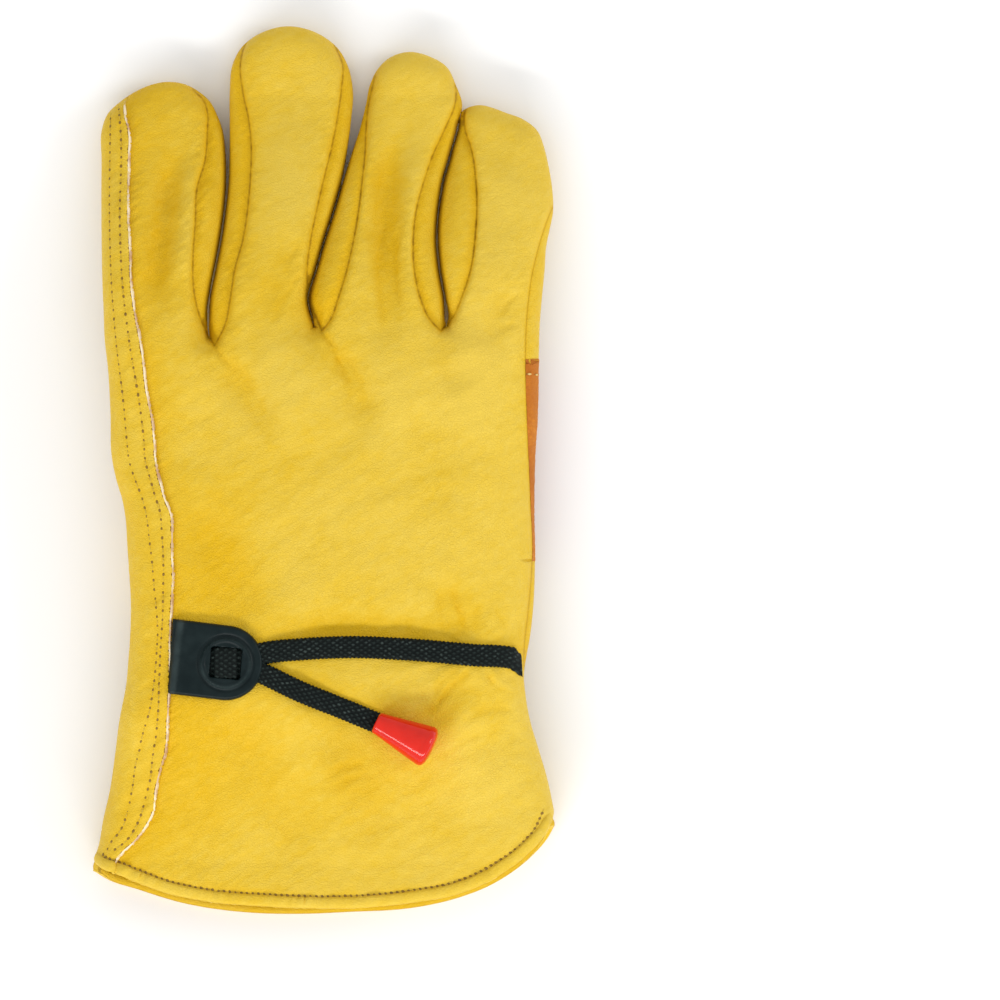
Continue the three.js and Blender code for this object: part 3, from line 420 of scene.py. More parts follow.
def depth_at(xy):
    """Middle height, half height and crown of the glove's section, without the lift."""
    share = (xy[:, 1] - CUFF_Y) / GLOVE_LENGTH
    stations = spline([(s[0] * 100, s[1], s[2], s[3]) for s in HAND_STATIONS], 0.5)
    low, high, crown = (np.interp(share * 100, stations[:, 0], stations[:, k]) for k in (1, 2, 3))
    tips = np.array([finger["tip"] for finger in FINGERS.values()])[finger_of(xy)]
    to_tip = np.linalg.norm(xy - tips, axis=1)
    finger_high = (0.79 + 0.16 * smoothstep(to_tip, 6, 45)) * FINGER_DEPTH
    fingers = smoothstep(share, 0.6, 0.7)
    high = high * HAND_DEPTH * (1 - fingers) + finger_high * fingers
    low = low * HAND_DEPTH * (1 - fingers) - REST_FLAT
    high = high - REST_FLAT
    return (low + high) / 2, (high - low) / 2, crown * HAND_DEPTH * (1 - fingers)


def roundness(gap, reach=11.0):
    """How far up its section the leather is, at a distance from the glove's side."""
    inwards = np.clip(1 - gap / reach, 0, 1)
    return (1 - inwards**SECTION_POWER) ** (1 / SECTION_POWER)


@lru_cache(None)
def fold_lines():
    return [spline(points, 2.5) for points, _, _ in FOLDS]


def fold_at(xy):
    """The height of the folds, each of which fades out towards its ends."""
    height = np.zeros(len(xy))
    for line, (_, reach, depth) in zip(fold_lines(), FOLDS):
        nearest = np.full(len(xy), 1e9)
        share_along = np.zeros(len(xy))
        for i, (start, end) in enumerate(zip(line, line[1:])):
            run = end - start
            share = np.clip(((xy - start) @ run) / (run @ run), 0, 1)
            away = np.linalg.norm(xy - start - share[:, None] * run, axis=1)
            share_along = np.where(away < nearest, (i + share) / (len(line) - 1), share_along)
            nearest = np.minimum(away, nearest)
        fade = smoothstep(share_along, -0.02, 0.35) * smoothstep(1 - share_along, -0.02, 0.35)
        height += depth * fade * bell(nearest, reach)
    return height


def smooth_back(xy, gap=None):
    """The height of the back without its fine wrinkles."""
    if gap is None:
        gap = side_lines().nearest(xy)[0]
    middle, half, crown = depth_at(xy)
    rise = roundness(gap)
    edge = smoothstep(gap, 0, 6)
    across = np.clip((xy[:, 0] - SIDE_SHIFT) / (0.5 * PALM_WIDTH), -1, 1)
    return middle + half * rise + (crown * (1 - across**2) + fold_at(xy)) * edge + lift_at(xy)


@lru_cache(None)
def seam_curves():
    return {name: spline(points, 0.5) for name, points in SEAMS.items()}


@lru_cache(None)
def raw_curve():
    """The cut edge of the wrapped leather, a little uneven like the real one."""
    curve = spline(RAW_EDGE, 0.5)
    along = np.arange(len(curve)) * 0.5
    wave = 0.22 * noise(along / 14, along * 0, SEED) + 0.1 * noise(along / 3.2, along * 0, SEED + 1)
    return curve + np.column_stack([wave, np.zeros(len(curve))])


@lru_cache(None)
def lines_of(kind):
    """The lines that shape the leather, ready for measuring distances."""
    made = {
        "seams": lambda: list(seam_curves().values()),
        "little": lambda: [spline(LITTLE_SEAM, 0.5)],
        "raw": lambda: [raw_curve()],
        "rows": lambda: [spline(OUTER_ROW, 0.5), spline(INNER_ROW, 0.5)],
        "hem": lambda: [spline(BACK_EDGE, 0.5)],
        "palm_hem": lambda: [spline(PALM_EDGE, 0.5)],
        "strap": lambda: [spline(RUN, 0.5), spline(TAIL, 0.5)],
        "wrinkles": lambda: [spline(points, 0.5) for points, _, _ in WRINKLES],
        "gaps": lambda: [np.column_stack([xs, ys]) for ys, xs in finger_gaps()],
        "welt": lambda: [spline(WELT, 0.5)],
    }
    return Lines(made[kind]())


def bell(gap, reach):
    return np.exp(-((gap / reach) ** 2))


def back_surface(xy):
    """Height of the back, the painted shade of its creases, seams and finger gaps, the hide's broad tone with painted
    shading mixed in, and the side gap.
    """
    gap = side_lines().nearest(xy)[0]
    height = smooth_back(xy, gap)
    x, y = xy[:, 0], xy[:, 1]
    edge = smoothstep(gap, 0, 5)
    fingers = smoothstep(y, 36, 56)
    folds = fold_at(xy)
    # Painted shading of the folds: darker colour in their valleys, paler on their ridges.
    tone = np.clip(-folds / 3.4, -0.3, 0.6)
    # Painted shade between the fingers where they touch.
    painted_crease_shade = bell(lines_of("gaps").nearest(xy)[0], 1.5) * smoothstep(y, 38, 46)

    # Soft waves of the hide, then fine wrinkles that rise to the right
    height += edge * (0.4 * noise(x / 17, y / 21, SEED + 2) + 0.2 * noise(x / 7, y / 8, SEED + 3))
    angle = np.radians(38 - 16 * smoothstep(x, -30, 40))
    along, across = x * np.cos(angle) + y * np.sin(angle), y * np.cos(angle) - x * np.sin(angle)
    fine = np.abs(noise(along / 7.5, across / 2.1, SEED + 4))
    where = smoothstep(noise(x / 13, y / 13, SEED + 5), -0.35, 0.4)
    left = 1 - smoothstep(x, -34, -14)
    fine_depth = 0.17 + 0.19 * left + 0.13 * left * fingers + 0.12 * (1 - smoothstep(y, -90, -60))
    height += edge * (0.25 + 0.75 * where) * fine_depth * (fine - 0.4)
    long_ripple = noise(along / 22, across / 4.6, SEED + 10)
    height += edge * 0.24 * long_ripple * (1 - fingers * (x > -30))
    knuckles = bell(y - 56, 15) * fingers * (x > -30)
    height += edge * knuckles * 0.22 * (np.abs(noise(along / 5, across / 1.9, SEED + 6)) - 0.4)

    wrinkle_gap, _, along, line = lines_of("wrinkles").nearest(xy)
    reach = np.array([w[1] for w in WRINKLES])[line]
    depth = np.array([w[2] for w in WRINKLES])[line]
    length = np.array([np.linalg.norm(np.diff(np.array(w[0]), axis=0), axis=1).sum() for w in WRINKLES])[line]
    fade = smoothstep(along, -0.5, 2) * smoothstep(length - along, -0.5, 3)
    height += depth * fade * bell(wrinkle_gap, reach) - 0.4 * depth * fade * bell(wrinkle_gap - 1.9 * reach, reach)
    # Painted shade along the wrinkles.
    tone += 0.7 * fade * bell(wrinkle_gap, 1.1) * np.abs(depth)

    # The leather gathers where the strap pulls it in
    away = np.linalg.norm(xy - np.array(PULL_IN), axis=1)
    turn = np.arctan2(y - PULL_IN[1], x - PULL_IN[0])
    rays = noise(turn * 3.4 + 30, away / 24, SEED + 7)
    height += edge * 0.95 * rays * bell(away, 19) * smoothstep(away, 3, 8)
    strap_gap, strap_side, _, _ = lines_of("strap").nearest(xy)
    height -= 0.5 * bell(strap_gap, 4.2) * edge
    # Painted shadow of the strap on the leather above it, weaker painted shade below it, and dark painted shade along
    # its edges.
    above = strap_side > 0
    tone += np.where(above, 0.75 * bell(strap_gap, 7), 0.35 * bell(strap_gap, 5))
    painted_crease_shade = np.maximum(painted_crease_shade, np.where(above, 0.42, 0.2) * bell(strap_gap - 3.0, 1.3))

    # Finger seams are turned in: the back rolls over them and the gusset comes up from below
    seam_gap, side, along, line = lines_of("seams").nearest(xy)
    gusset = (side > 0) == (line % 2 == 1)
    pucker = noise(along / 2.6, line * 7.3, SEED + 8)
    dip = np.where(gusset, 1.5 * np.exp(-((seam_gap / 2.2) ** 1.4)), 1.5 * np.exp(-((seam_gap / 0.75) ** 1.5)))
    height -= dip * (1 + 0.15 * pucker)
    height += 0.22 * pucker * bell(seam_gap - 1.6, 1.2) * edge
    # Painted shade at the seams: a dark line at each seam's bottom, a shaded band on the gusset side where the back
    # rolls over, and a darker tone beside them.
    painted_crease_shade = np.maximum(painted_crease_shade, (0.82 + 0.25 * noise(along / 1.6, line * 3.1, SEED + 17)) * bell(seam_gap, 0.5))
    painted_crease_shade = np.maximum(painted_crease_shade, np.where(gusset, 0.56, 0) * np.exp(-seam_gap / 1.3))
    tone += np.where(gusset, 0.75 * bell(seam_gap, 2.4), 0.3 * bell(seam_gap, 3.6))
    side_gap, side, along, _ = lines_of("little").nearest(xy)
    pucker = noise(along / 2.8, along * 0, SEED + 9)
    height -= 1.0 * np.exp(-((side_gap / np.where(side > 0, 0.8, 1.6)) ** 1.4)) * (1 + 0.2 * pucker)
    # Painted shade along the little-finger seam and a darker tone beside it; the leather on its outer side is a little
    # darker all over.
    painted_crease_shade = np.maximum(painted_crease_shade, 0.7 * bell(side_gap, 0.45))
    tone += 0.3 * bell(side_gap, 2.4) + np.where(side < 0, 0.3, 0)

    # The index side is wrapped over the back and lies on it, up to its cut edge
    raw_gap, side, along, _ = lines_of("raw").nearest(xy)
    wrapped = side > 0
    height += np.where(wrapped, 0.95 * smoothstep(gap, 0, 4) - 0.2 * bell(raw_gap, 0.8), 0)
    height -= np.where(wrapped, 0, 0.3 * bell(raw_gap, 2.4)) * edge
    # Painted shade beside the cut edge on the back, and a darker tone over a broad band beside it; the wrapped leather
    # is a little darker.
    painted_crease_shade = np.maximum(painted_crease_shade, np.where(wrapped, 0, 0.75 * bell(raw_gap, 1.1)))
    tone += np.where(wrapped, 0.1, 0.3 * bell(raw_gap, 5) + 0.42 * bell(raw_gap, 15))
    row_gap = lines_of("rows").nearest(xy)[0]
    height -= 0.25 * bell(row_gap, 0.8) * wrapped * smoothstep(gap, 0, 1.5)
    # Painted shade in the dimples along the stitch rows.
    tone += 0.25 * bell(row_gap, 0.9) * wrapped
    hem_gap = lines_of("hem").nearest(xy)[0]
    height -= 0.3 * bell(hem_gap - 3.5, 0.7) * edge
    # Painted shade in the groove along the hem's stitching.
    tone += 0.35 * bell(hem_gap - 3.6, 1.2) * edge
    # The hide's random tone, two broad darker patches towards the index side, painted shade in the ring finger's
    # valley, and painted light that makes the little-finger side paler.
    tone += 0.22 * noise(x / 26, y / 30, SEED + 11) + 0.45 * bell(y + 34, 24) * bell(x + 33, 20)
    tone += 0.62 * bell(y + 88, 26) * bell(x + 38, 17)
    tone += 0.4 * bell(x - 18.5, 4) * smoothstep(y, 50, 60) * (1 - smoothstep(y, 85, 95))
    tone -= 0.3 * smoothstep(x, -15, 45) + 0.1
    return np.maximum(height, 0), np.clip(painted_crease_shade, 0, 1), np.clip(tone, -1, 1), gap


def palm_surface(xy):
    """The same four values for the underside."""
    gap = side_lines().nearest(xy)[0]
    middle, half, _ = depth_at(xy)
    height = middle - half * roundness(gap) + lift_at(xy)
    edge = smoothstep(gap, 0, 5)
    x, y = xy[:, 0], xy[:, 1]
    raised = smoothstep(lift_at(xy), 0.5, 4)
    height += edge * raised * (0.4 * noise(x / 15, y / 17, SEED + 12) + 0.15 * noise(x / 5, y / 4, SEED + 13))
    fingers = smoothstep(y, 40, 60)
    height += edge * raised * fingers * 0.3 * (np.abs(noise(x / 9, y / 2.4, SEED + 14)) - 0.3)
    welt_gap = lines_of("welt").nearest(xy)[0]
    height += 0.7 * bell(welt_gap, 1.2) * edge
    # Painted shade along the welt and between the fingers, and a darker tone beside the welt.
    painted_crease_shade = np.maximum(0.8 * bell(welt_gap, 0.8), bell(lines_of("gaps").nearest(xy)[0], 1.5) * smoothstep(y, 38, 46))
    tone = 0.35 * noise(x / 24, y / 28, SEED + 15) + 0.3 * bell(welt_gap, 4)
    hem_gap = lines_of("palm_hem").nearest(xy)[0]
    height += 0.74 * (1 - smoothstep(hem_gap, 3.2, 5.5))
    return np.maximum(height, 0), np.clip(painted_crease_shade, 0, 1), np.clip(tone, -1, 1), gap


# Sheets of leather

def hex_grid(low, high, pitch):
    xs = np.arange(low[0], high[0], pitch)
    ys = np.arange(low[1], high[1], pitch * 0.866)
    gx, gy = np.meshgrid(xs, ys)
    gx = gx + (np.arange(len(ys)) % 2)[:, None] * pitch / 2
    return np.column_stack([gx.ravel(), gy.ravel()])


def triangulate(outline, lines, rings, spacing, coarsest):
    """Triangles over an outline, finer near the lines. Returns points and triangles facing up."""
    border = Lines([np.vstack([outline, outline[:1]])])
    everything = Lines([np.vstack([outline, outline[:1]])] + [np.asarray(line) for line in lines])
    places = [outline]
    edges = [(i, (i + 1) % len(outline)) for i in range(len(outline))]
    count = len(outline)
    for line in lines:
        places.append(np.asarray(line))
        edges += [(count + i, count + i + 1) for i in range(len(line) - 1)]
        count += len(line)
    nexts, befores = np.roll(outline, -1, axis=0), np.roll(outline, 1, axis=0)
    along = nexts - befores
    area = np.sum(outline[:, 0] * nexts[:, 1] - nexts[:, 0] * outline[:, 1])
    inward = np.column_stack([-along[:, 1], along[:, 0]]) * (1 if area > 0 else -1)
    inward /= np.linalg.norm(inward, axis=1)[:, None]
    for ring in rings:
        moved = outline + inward * ring
        if ring > 0.8:
            moved = moved[::2]
        keep = (border.nearest(moved)[0] > ring * 0.92) & inside(outline, moved)
        lines_gap = everything.nearest(moved)[0]
        places.append(moved[keep & (lines_gap > ring * 0.9)])
    low, high = outline.min(0), outline.max(0)
    pitch = spacing.min_pitch
    outermost = max(rings) if rings else 0
    while pitch <= coarsest * 1.01:
        grid = hex_grid(low, high, pitch)
        grid = grid[inside(outline, grid)]
        border_gap = border.nearest(grid)[0]
        lines_gap = everything.nearest(grid)[0]
        wanted = spacing(grid, border_gap, lines_gap)
        keep = (wanted >= pitch * 0.999) & (wanted < pitch * 1.35) & (border_gap > outermost + 0.45 * pitch)
        keep &= lines_gap > 0.6 * pitch
        places.append(grid[keep])
        pitch *= 1.35
    points = np.vstack(places)
    made = geometry.delaunay_2d_cdt([Vector(p) for p in points], edges, [], 0, 1e-5)
    points = np.array([tuple(v) for v in made[0]])
    triangles = np.array([f for f in made[2] if len(f) == 3])
    centres = points[triangles].mean(1)
    triangles = triangles[inside(outline, centres)]
    a, b, c = (points[triangles[:, k]] for k in range(3))
    turn = (b[:, 0] - a[:, 0]) * (c[:, 1] - a[:, 1]) - (b[:, 1] - a[:, 1]) * (c[:, 0] - a[:, 0])
    triangles[turn < 0] = triangles[turn < 0][:, ::-1]
    return points, triangles[np.abs(turn) > 1e-9]


class Spacing:
    """The wanted distance between points, from how near the border and the seams are."""

    def __init__(self, fine, coarse, reach):
        self.min_pitch, self.coarse, self.reach = fine, coarse, reach

    def __call__(self, xy, border_gap, lines_gap):
        near = np.minimum(lines_gap, border_gap + 1)
        wanted = self.min_pitch + (self.coarse - self.min_pitch) * smoothstep(near, 1.2, self.reach)
        steps = np.floor(np.log(np.maximum(wanted / self.min_pitch, 1)) / math.log(1.35) + 1e-6)
        return self.min_pitch * 1.35**steps


def mesh_object(name, points, faces, looks=None):
    """A smooth-shaded object from points in millimetres, with its painted shade of creases and its tone with painted
    shading, where given.
    """
    used = np.unique(faces)
    number = np.full(len(points), -1)
    number[used] = np.arange(len(used))
    mesh = bpy.data.meshes.new(name)
    mesh.from_pydata((points[used] * MM).tolist(), [], number[faces].tolist())
    if looks is not None:
        for column, attribute in enumerate(("painted_crease_shade", "tone")):
            values = looks[used, column].astype(np.float32)
            mesh.attributes.new(attribute, "FLOAT", "POINT").data.foreach_set("value", values)
    mesh.shade_smooth()
    mesh.update()
    obj = bpy.data.objects.new(name, mesh)
    bpy.context.scene.collection.objects.link(obj)
    return obj


def settle(obj, sharp=50):
    """Turns the modifiers' result into a plain mesh with its hard edges kept hard."""
    depsgraph = bpy.context.evaluated_depsgraph_get()
    made = bpy.data.meshes.new_from_object(obj.evaluated_get(depsgraph), depsgraph=depsgraph)
    obj.modifiers.clear()
    old, obj.data = obj.data, made
    bpy.data.meshes.remove(old)
    made.name = obj.name
    made.shade_smooth()
    made.set_sharp_from_angle(angle=math.radians(sharp))
    return obj


def thicken(obj, thickness, offset=-1.0):
    solid = obj.modifiers.new("Wall", "SOLIDIFY")
    solid.thickness = thickness
    solid.offset = offset
    return settle(obj)


def dress(obj, material, slot, *nodes):
    """Gives a piece its material and says where it belongs."""
    obj.data.materials.clear()
    obj.data.materials.append(material)
    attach(obj, "root")
    if nodes:
        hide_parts(*nodes)
    return obj


def settings():
    return bpy.context.scene.glove_settings


def weld(points, faces, looks, near=0.004):
    """Joins points that lie on each other."""
    keys = np.round(points / near).astype(np.int64)
    _, first, number = np.unique(keys, axis=0, return_index=True, return_inverse=True)
    faces = number.ravel()[faces]
    keep = (faces[:, 0] != faces[:, 1]) & (faces[:, 1] != faces[:, 2]) & (faces[:, 2] != faces[:, 0])
    return points[first], faces[keep], looks[first]


@lru_cache(None)
def back_sheet():
    """The whole upper side as one set of triangles, with a number for the panel of each."""
    sides = outline_parts()
    outline = np.vstack([sides, spline(BACK_EDGE, 0.7)[::-1][1:-1]])
    high, low = PATCH_ENDS
    patch_cuts = [np.array([(56.0, y), (66.0, y)]) for y in (high, high + PATCH_LAP, low, low - PATCH_LAP)]
    lines = list(seam_curves().values()) + [spline(LITTLE_SEAM, 0.6), raw_curve()] + patch_cuts
    fine, coarse = ((0.47, 1.16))
    points, triangles = triangulate(outline, lines, (0.05, 0.22, 0.55, 1.05), Spacing(fine, coarse, 6.0), coarse)
    height, painted_crease_shade, tone, _ = back_surface(points)
    centres = points[triangles].mean(1)
    panel = np.zeros(len(triangles), int)
    raw = raw_curve()
    panel[inside(np.vstack([raw, [(-80, 115), (-80, -118)]]), centres)] = 1
    seams = seam_curves()
    pairs = (("index_right", "middle_left"), ("middle_right", "ring_left"), ("ring_right", "little_left"))
    for number, (left, right) in enumerate(pairs):
        space = np.vstack([seams[left], [(seams[left][-1][0], 140), (seams[right][-1][0], 140)], seams[right][::-1]])
        panel[inside(space, centres)] = 2 + number
    seam = spline(LITTLE_SEAM, 0.6)
    panel[inside(np.vstack([seam, [(90, 105), (90, -86)]]), centres)] = 5
    return np.column_stack([points, height]), triangles, np.column_stack([painted_crease_shade, tone]), panel


def thumb_points(outline):
    """Points from the thumb's own frame to the glove's."""
    outline = np.asarray(outline, float)
    turn = np.array([[math.cos(THUMB_ANGLE), math.sin(THUMB_ANGLE)],
                     [-math.sin(THUMB_ANGLE), math.cos(THUMB_ANGLE)]])
    return np.array(THUMB_ROOT) + outline @ turn


def oval(half_length, half_width, count=56):
    angle = np.linspace(0, 2 * np.pi, count, endpoint=False)
    return np.column_stack([half_length * np.cos(angle), half_width * np.sin(angle)])


@lru_cache(None)
def palm_sheet():
    """The whole underside, with a number for the panel of each triangle."""
    sides = outline_parts()
    edge = spline(PALM_EDGE, 0.7)[::-1]
    outline = np.vstack([sides, edge])
    welt = spline(WELT, 0.6)
    gaps = [np.column_stack([xs, ys]) for ys, xs in (finger_gaps()[0], finger_gaps()[2])]
    middle = np.vstack([welt, gaps[1], [(46, 106), (46, 140), (-26, 140), (-28, 110)], gaps[0][::-1]])
    hole = thumb_points(oval(*THUMB_HOLE))
    patch = resample(np.array(PATCH + PATCH[:1]), 0.8)
    fine, coarse = ((0.65, 1.76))
    lines = [welt, np.vstack([hole, hole[:1]]), patch]
    points, triangles = triangulate(outline, lines, (0.05, 0.22, 0.55, 1.05), Spacing(fine, coarse, 6.0), coarse)
    height, painted_crease_shade, tone, _ = palm_surface(points)
    centres = points[triangles].mean(1)
    panel = np.where(inside(middle, centres), 1, 0)
    panel[inside(hole, centres)] = 2
    return np.column_stack([points, height]), triangles, np.column_stack([painted_crease_shade, tone]), panel


# Materials

class Nodes:
    """A short way to add and join the nodes of one tree."""

    def __init__(self, tree):
        self.tree = tree

    def add(self, kind, values=None, **properties):
        node = self.tree.nodes.new(kind)
        for key, value in properties.items():
            setattr(node, key, value)
        for key, value in (values or {}).items():
            if isinstance(value, bpy.types.NodeSocket):
                self.tree.links.new(value, node.inputs[key])
            else:
                node.inputs[key].default_value = value
        return node

    def math(self, operation, a, b=0.0, c=0.0, clamp=False):
        node = self.add("ShaderNodeMath", {0: a, 1: b, 2: c}, operation=operation, use_clamp=clamp)
        return node.outputs[0]

    def mix(self, share, a, b, blend="MIX"):
        node = self.add("ShaderNodeMix", {0: share, 6: a, 7: b}, data_type="RGBA", blend_type=blend)
        return node.outputs[2]

    def ramp(self, value, low, high, to_low=0.0, to_high=1.0):
        node = self.add("ShaderNodeMapRange", {0: value, 1: low, 2: high, 3: to_low, 4: to_high})
        return node.outputs[0]


def group(name, inputs, outputs, build):
    """A shader node group with named sockets, made once."""
    made = bpy.data.node_groups.get(name)
    if made:
        return made
    made = bpy.data.node_groups.new(name, "ShaderNodeTree")
    for socket, kind, value in inputs:
        made.interface.new_socket(socket, in_out="INPUT", socket_type=kind).default_value = value
    for socket, kind in outputs:
        made.interface.new_socket(socket, in_out="OUTPUT", socket_type=kind)
    nodes = Nodes(made)
    start, end = made.nodes.new("NodeGroupInput"), made.nodes.new("NodeGroupOutput")
    for socket, value in build(nodes, start.outputs).items():
        made.links.new(value, end.inputs[socket])
    return made


def colour(rgb):
    return (*rgb, 1.0)


def build_grain(nodes, inputs):
    """Pebbled hide: fine ripples that rise to the right, small cells, pores and cloudy tone."""
    place = nodes.add("ShaderNodeTexCoord").outputs["Object"]
    warp = nodes.add("ShaderNodeTexNoise", {"Vector": place, "Scale": 260.0, "Detail": 2.0})
    moved = nodes.add("ShaderNodeVectorMath", {0: warp.outputs["Color"], 1: (0.0022, 0.0022, 0.0022)},
                      operation="MULTIPLY").outputs[0]
    bent = nodes.add("ShaderNodeVectorMath", {0: place, 1: moved}, operation="ADD").outputs[0]
    ripple_place = nodes.add("ShaderNodeMapping", {"Vector": bent, "Rotation": (0, 0, math.radians(31)),
                                                   "Scale": (2.8, 1.0, 1.0)}, vector_type="TEXTURE").outputs[0]
    ripple = nodes.add("ShaderNodeTexNoise", {"Vector": ripple_place, "Scale": inputs["Ripple scale"],
                                              "Detail": 3.0, "Roughness": 0.55}).outputs["Fac"]
    cells = nodes.add("ShaderNodeTexVoronoi", {"Vector": bent, "Scale": inputs["Cell scale"]},
                      feature="DISTANCE_TO_EDGE").outputs["Distance"]
    furrow = nodes.ramp(cells, 0.0, 0.2)
    fine = nodes.add("ShaderNodeTexNoise", {"Vector": place, "Scale": 2600.0, "Detail": 3.0}).outputs["Fac"]
    patchy = nodes.add("ShaderNodeTexNoise", {"Vector": place, "Scale": 60.0, "Detail": 3.0}).outputs["Fac"]
    strength = nodes.ramp(patchy, 0.35, 0.65, 0.45, 1.2)
    cellular = nodes.math("ADD", nodes.math("MULTIPLY", furrow, 0.28), nodes.math("MULTIPLY", fine, 0.3))
    height = nodes.math("ADD", nodes.math("MULTIPLY", ripple, strength), cellular)
    cloud = nodes.add("ShaderNodeTexNoise", {"Vector": place, "Scale": 34.0, "Detail": 5.0, "Roughness": 0.6})
    mottle = nodes.add("ShaderNodeTexNoise", {"Vector": place, "Scale": 420.0, "Detail": 4.0}).outputs["Fac"]
    return {"Height": height, "Ripple": nodes.ramp(ripple, 0.32, 0.68), "Furrow": furrow,
            "Cloud": nodes.ramp(cloud.outputs["Fac"], 0.32, 0.68), "Mottle": nodes.ramp(mottle, 0.3, 0.7)}


def grain_group():
    return group("Leather grain", [("Cell scale", "NodeSocketFloat", 1000.0), ("Ripple scale", "NodeSocketFloat", 700.0)],
                 [(name, "NodeSocketFloat") for name in ("Height", "Ripple", "Furrow", "Cloud", "Mottle")],
                 build_grain)


def new_material(name):
    made = bpy.data.materials.new(name)
    made.use_nodes = True
    made.node_tree.nodes.clear()
    nodes = Nodes(made.node_tree)
    output = made.node_tree.nodes.new("ShaderNodeOutputMaterial")
    shader = made.node_tree.nodes.new("ShaderNodeBsdfPrincipled")
    made.node_tree.links.new(shader.outputs[0], output.inputs["Surface"])
    return made, nodes, shader


def connect(nodes, shader, **values):
    for key, value in values.items():
        socket = shader.inputs[key.replace("_", " ")]
        if isinstance(value, bpy.types.NodeSocket):
            nodes.tree.links.new(value, socket)
        else:
            socket.default_value = value


def bump(nodes, height, strength, distance):
    return nodes.add("ShaderNodeBump", {"Height": height, "Strength": strength, "Distance": distance}).outputs[0]


@lru_cache(None)
def leather_material():
    made, nodes, shader = new_material("Grain leather")
    s = settings()
    grain = nodes.add("ShaderNodeGroup", node_tree=grain_group())
    grain.inputs["Cell scale"].default_value = 1.0 / s.grain_size
    grain.inputs["Ripple scale"].default_value = 1.0 / s.ripple_size
    # The first attribute is painted shade in creases, seams and gaps; the second mixes the hide's own random tone with
    # painted shade and painted light.
    painted_crease_shade = nodes.add("ShaderNodeAttribute", attribute_name="painted_crease_shade").outputs["Fac"]
    tone = nodes.add("ShaderNodeAttribute", attribute_name="tone").outputs["Fac"]
    cloudy = nodes.math("MULTIPLY", nodes.math("SUBTRACT", grain.outputs["Cloud"], 0.5), 0.5)
    mottled = nodes.math("MULTIPLY", nodes.math("SUBTRACT", grain.outputs["Mottle"], 0.5), 0.26)
    rippled = nodes.math("MULTIPLY", nodes.math("SUBTRACT", 0.5, grain.outputs["Ripple"]), 0.42)
    depth = nodes.math("ADD", nodes.math("ADD", tone, cloudy), nodes.math("ADD", mottled, rippled))
    base = nodes.mix(nodes.ramp(depth, -0.6, 0.15), colour(s.leather_light), colour(s.leather_mid))
    base = nodes.mix(nodes.ramp(depth, 0.05, 0.95), base, colour(s.leather_deep))
    furrow = nodes.math("MULTIPLY", nodes.math("SUBTRACT", 1.0, grain.outputs["Furrow"]), 0.12)
    base = nodes.mix(furrow, base, colour(s.leather_deep))
    # Painted shade in creases and seams: first the deep tone, then the seam shadow at their bottoms.
    base = nodes.mix(nodes.ramp(painted_crease_shade, 0.1, 0.7), base, colour(s.leather_deep))
    base = nodes.mix(nodes.ramp(painted_crease_shade, 0.45, 1.0, 0.0, 0.8), base, colour(s.seam_shadow))
    rough = nodes.ramp(grain.outputs["Cloud"], 0.0, 1.0, 0.48, 0.6)
    connect(nodes, shader, Base_Color=base, Roughness=rough, Specular_IOR_Level=0.2,
            Normal=bump(nodes, grain.outputs["Height"], 0.62, 0.0005))
    return made


@lru_cache(None)
def raw_edge_material():
    made, nodes, shader = new_material("Cut leather edge")
    place = nodes.add("ShaderNodeTexCoord").outputs["Object"]
    fibre = nodes.add("ShaderNodeTexNoise", {"Vector": place, "Scale": 1500.0, "Detail": 5.0}).outputs["Fac"]
    patchy = nodes.add("ShaderNodeTexNoise", {"Vector": place, "Scale": 170.0, "Detail": 2.0}).outputs["Fac"]
    s = settings()
    base = nodes.mix(nodes.ramp(patchy, 0.42, 0.6), colour(s.cut_edge), (0.5, 0.26, 0.1, 1))
    base = nodes.mix(nodes.ramp(fibre, 0.3, 0.75, 0.0, 0.35), base, (0.9, 0.8, 0.62, 1))
    connect(nodes, shader, Base_Color=base, Roughness=0.9, Normal=bump(nodes, fibre, 0.8, 0.0002))
    return made


@lru_cache(None)
def suede_material():
    made, nodes, shader = new_material("Napped suede")
    place = nodes.add("ShaderNodeTexCoord").outputs["Object"]
    nap = nodes.add("ShaderNodeTexNoise", {"Vector": place, "Scale": 1700.0, "Detail": 6.0, "Roughness": 0.7})
    patchy = nodes.add("ShaderNodeTexNoise", {"Vector": place, "Scale": 110.0, "Detail": 4.0}).outputs["Fac"]
    s = settings()
    base = nodes.mix(nodes.ramp(patchy, 0.35, 0.65), colour(s.suede_dark), colour(s.suede))
    tufts = nodes.add("ShaderNodeTexNoise", {"Vector": place, "Scale": 620.0, "Detail": 3.0}).outputs["Fac"]
    base = nodes.mix(nodes.ramp(tufts, 0.4, 0.64, 0.0, 0.6), base, colour(s.suede_dark))
    base = nodes.mix(nodes.ramp(nap.outputs["Fac"], 0.4, 0.65, 0.0, 0.7), base, colour(s.suede_dark))
    connect(nodes, shader, Base_Color=base, Roughness=0.95, Sheen_Weight=0.25, Sheen_Roughness=0.5,
            Normal=bump(nodes, nap.outputs["Fac"], 0.9, 0.00035))
    shader.inputs["Sheen Tint"].default_value = (1.0, 0.62, 0.2, 1)
    return made


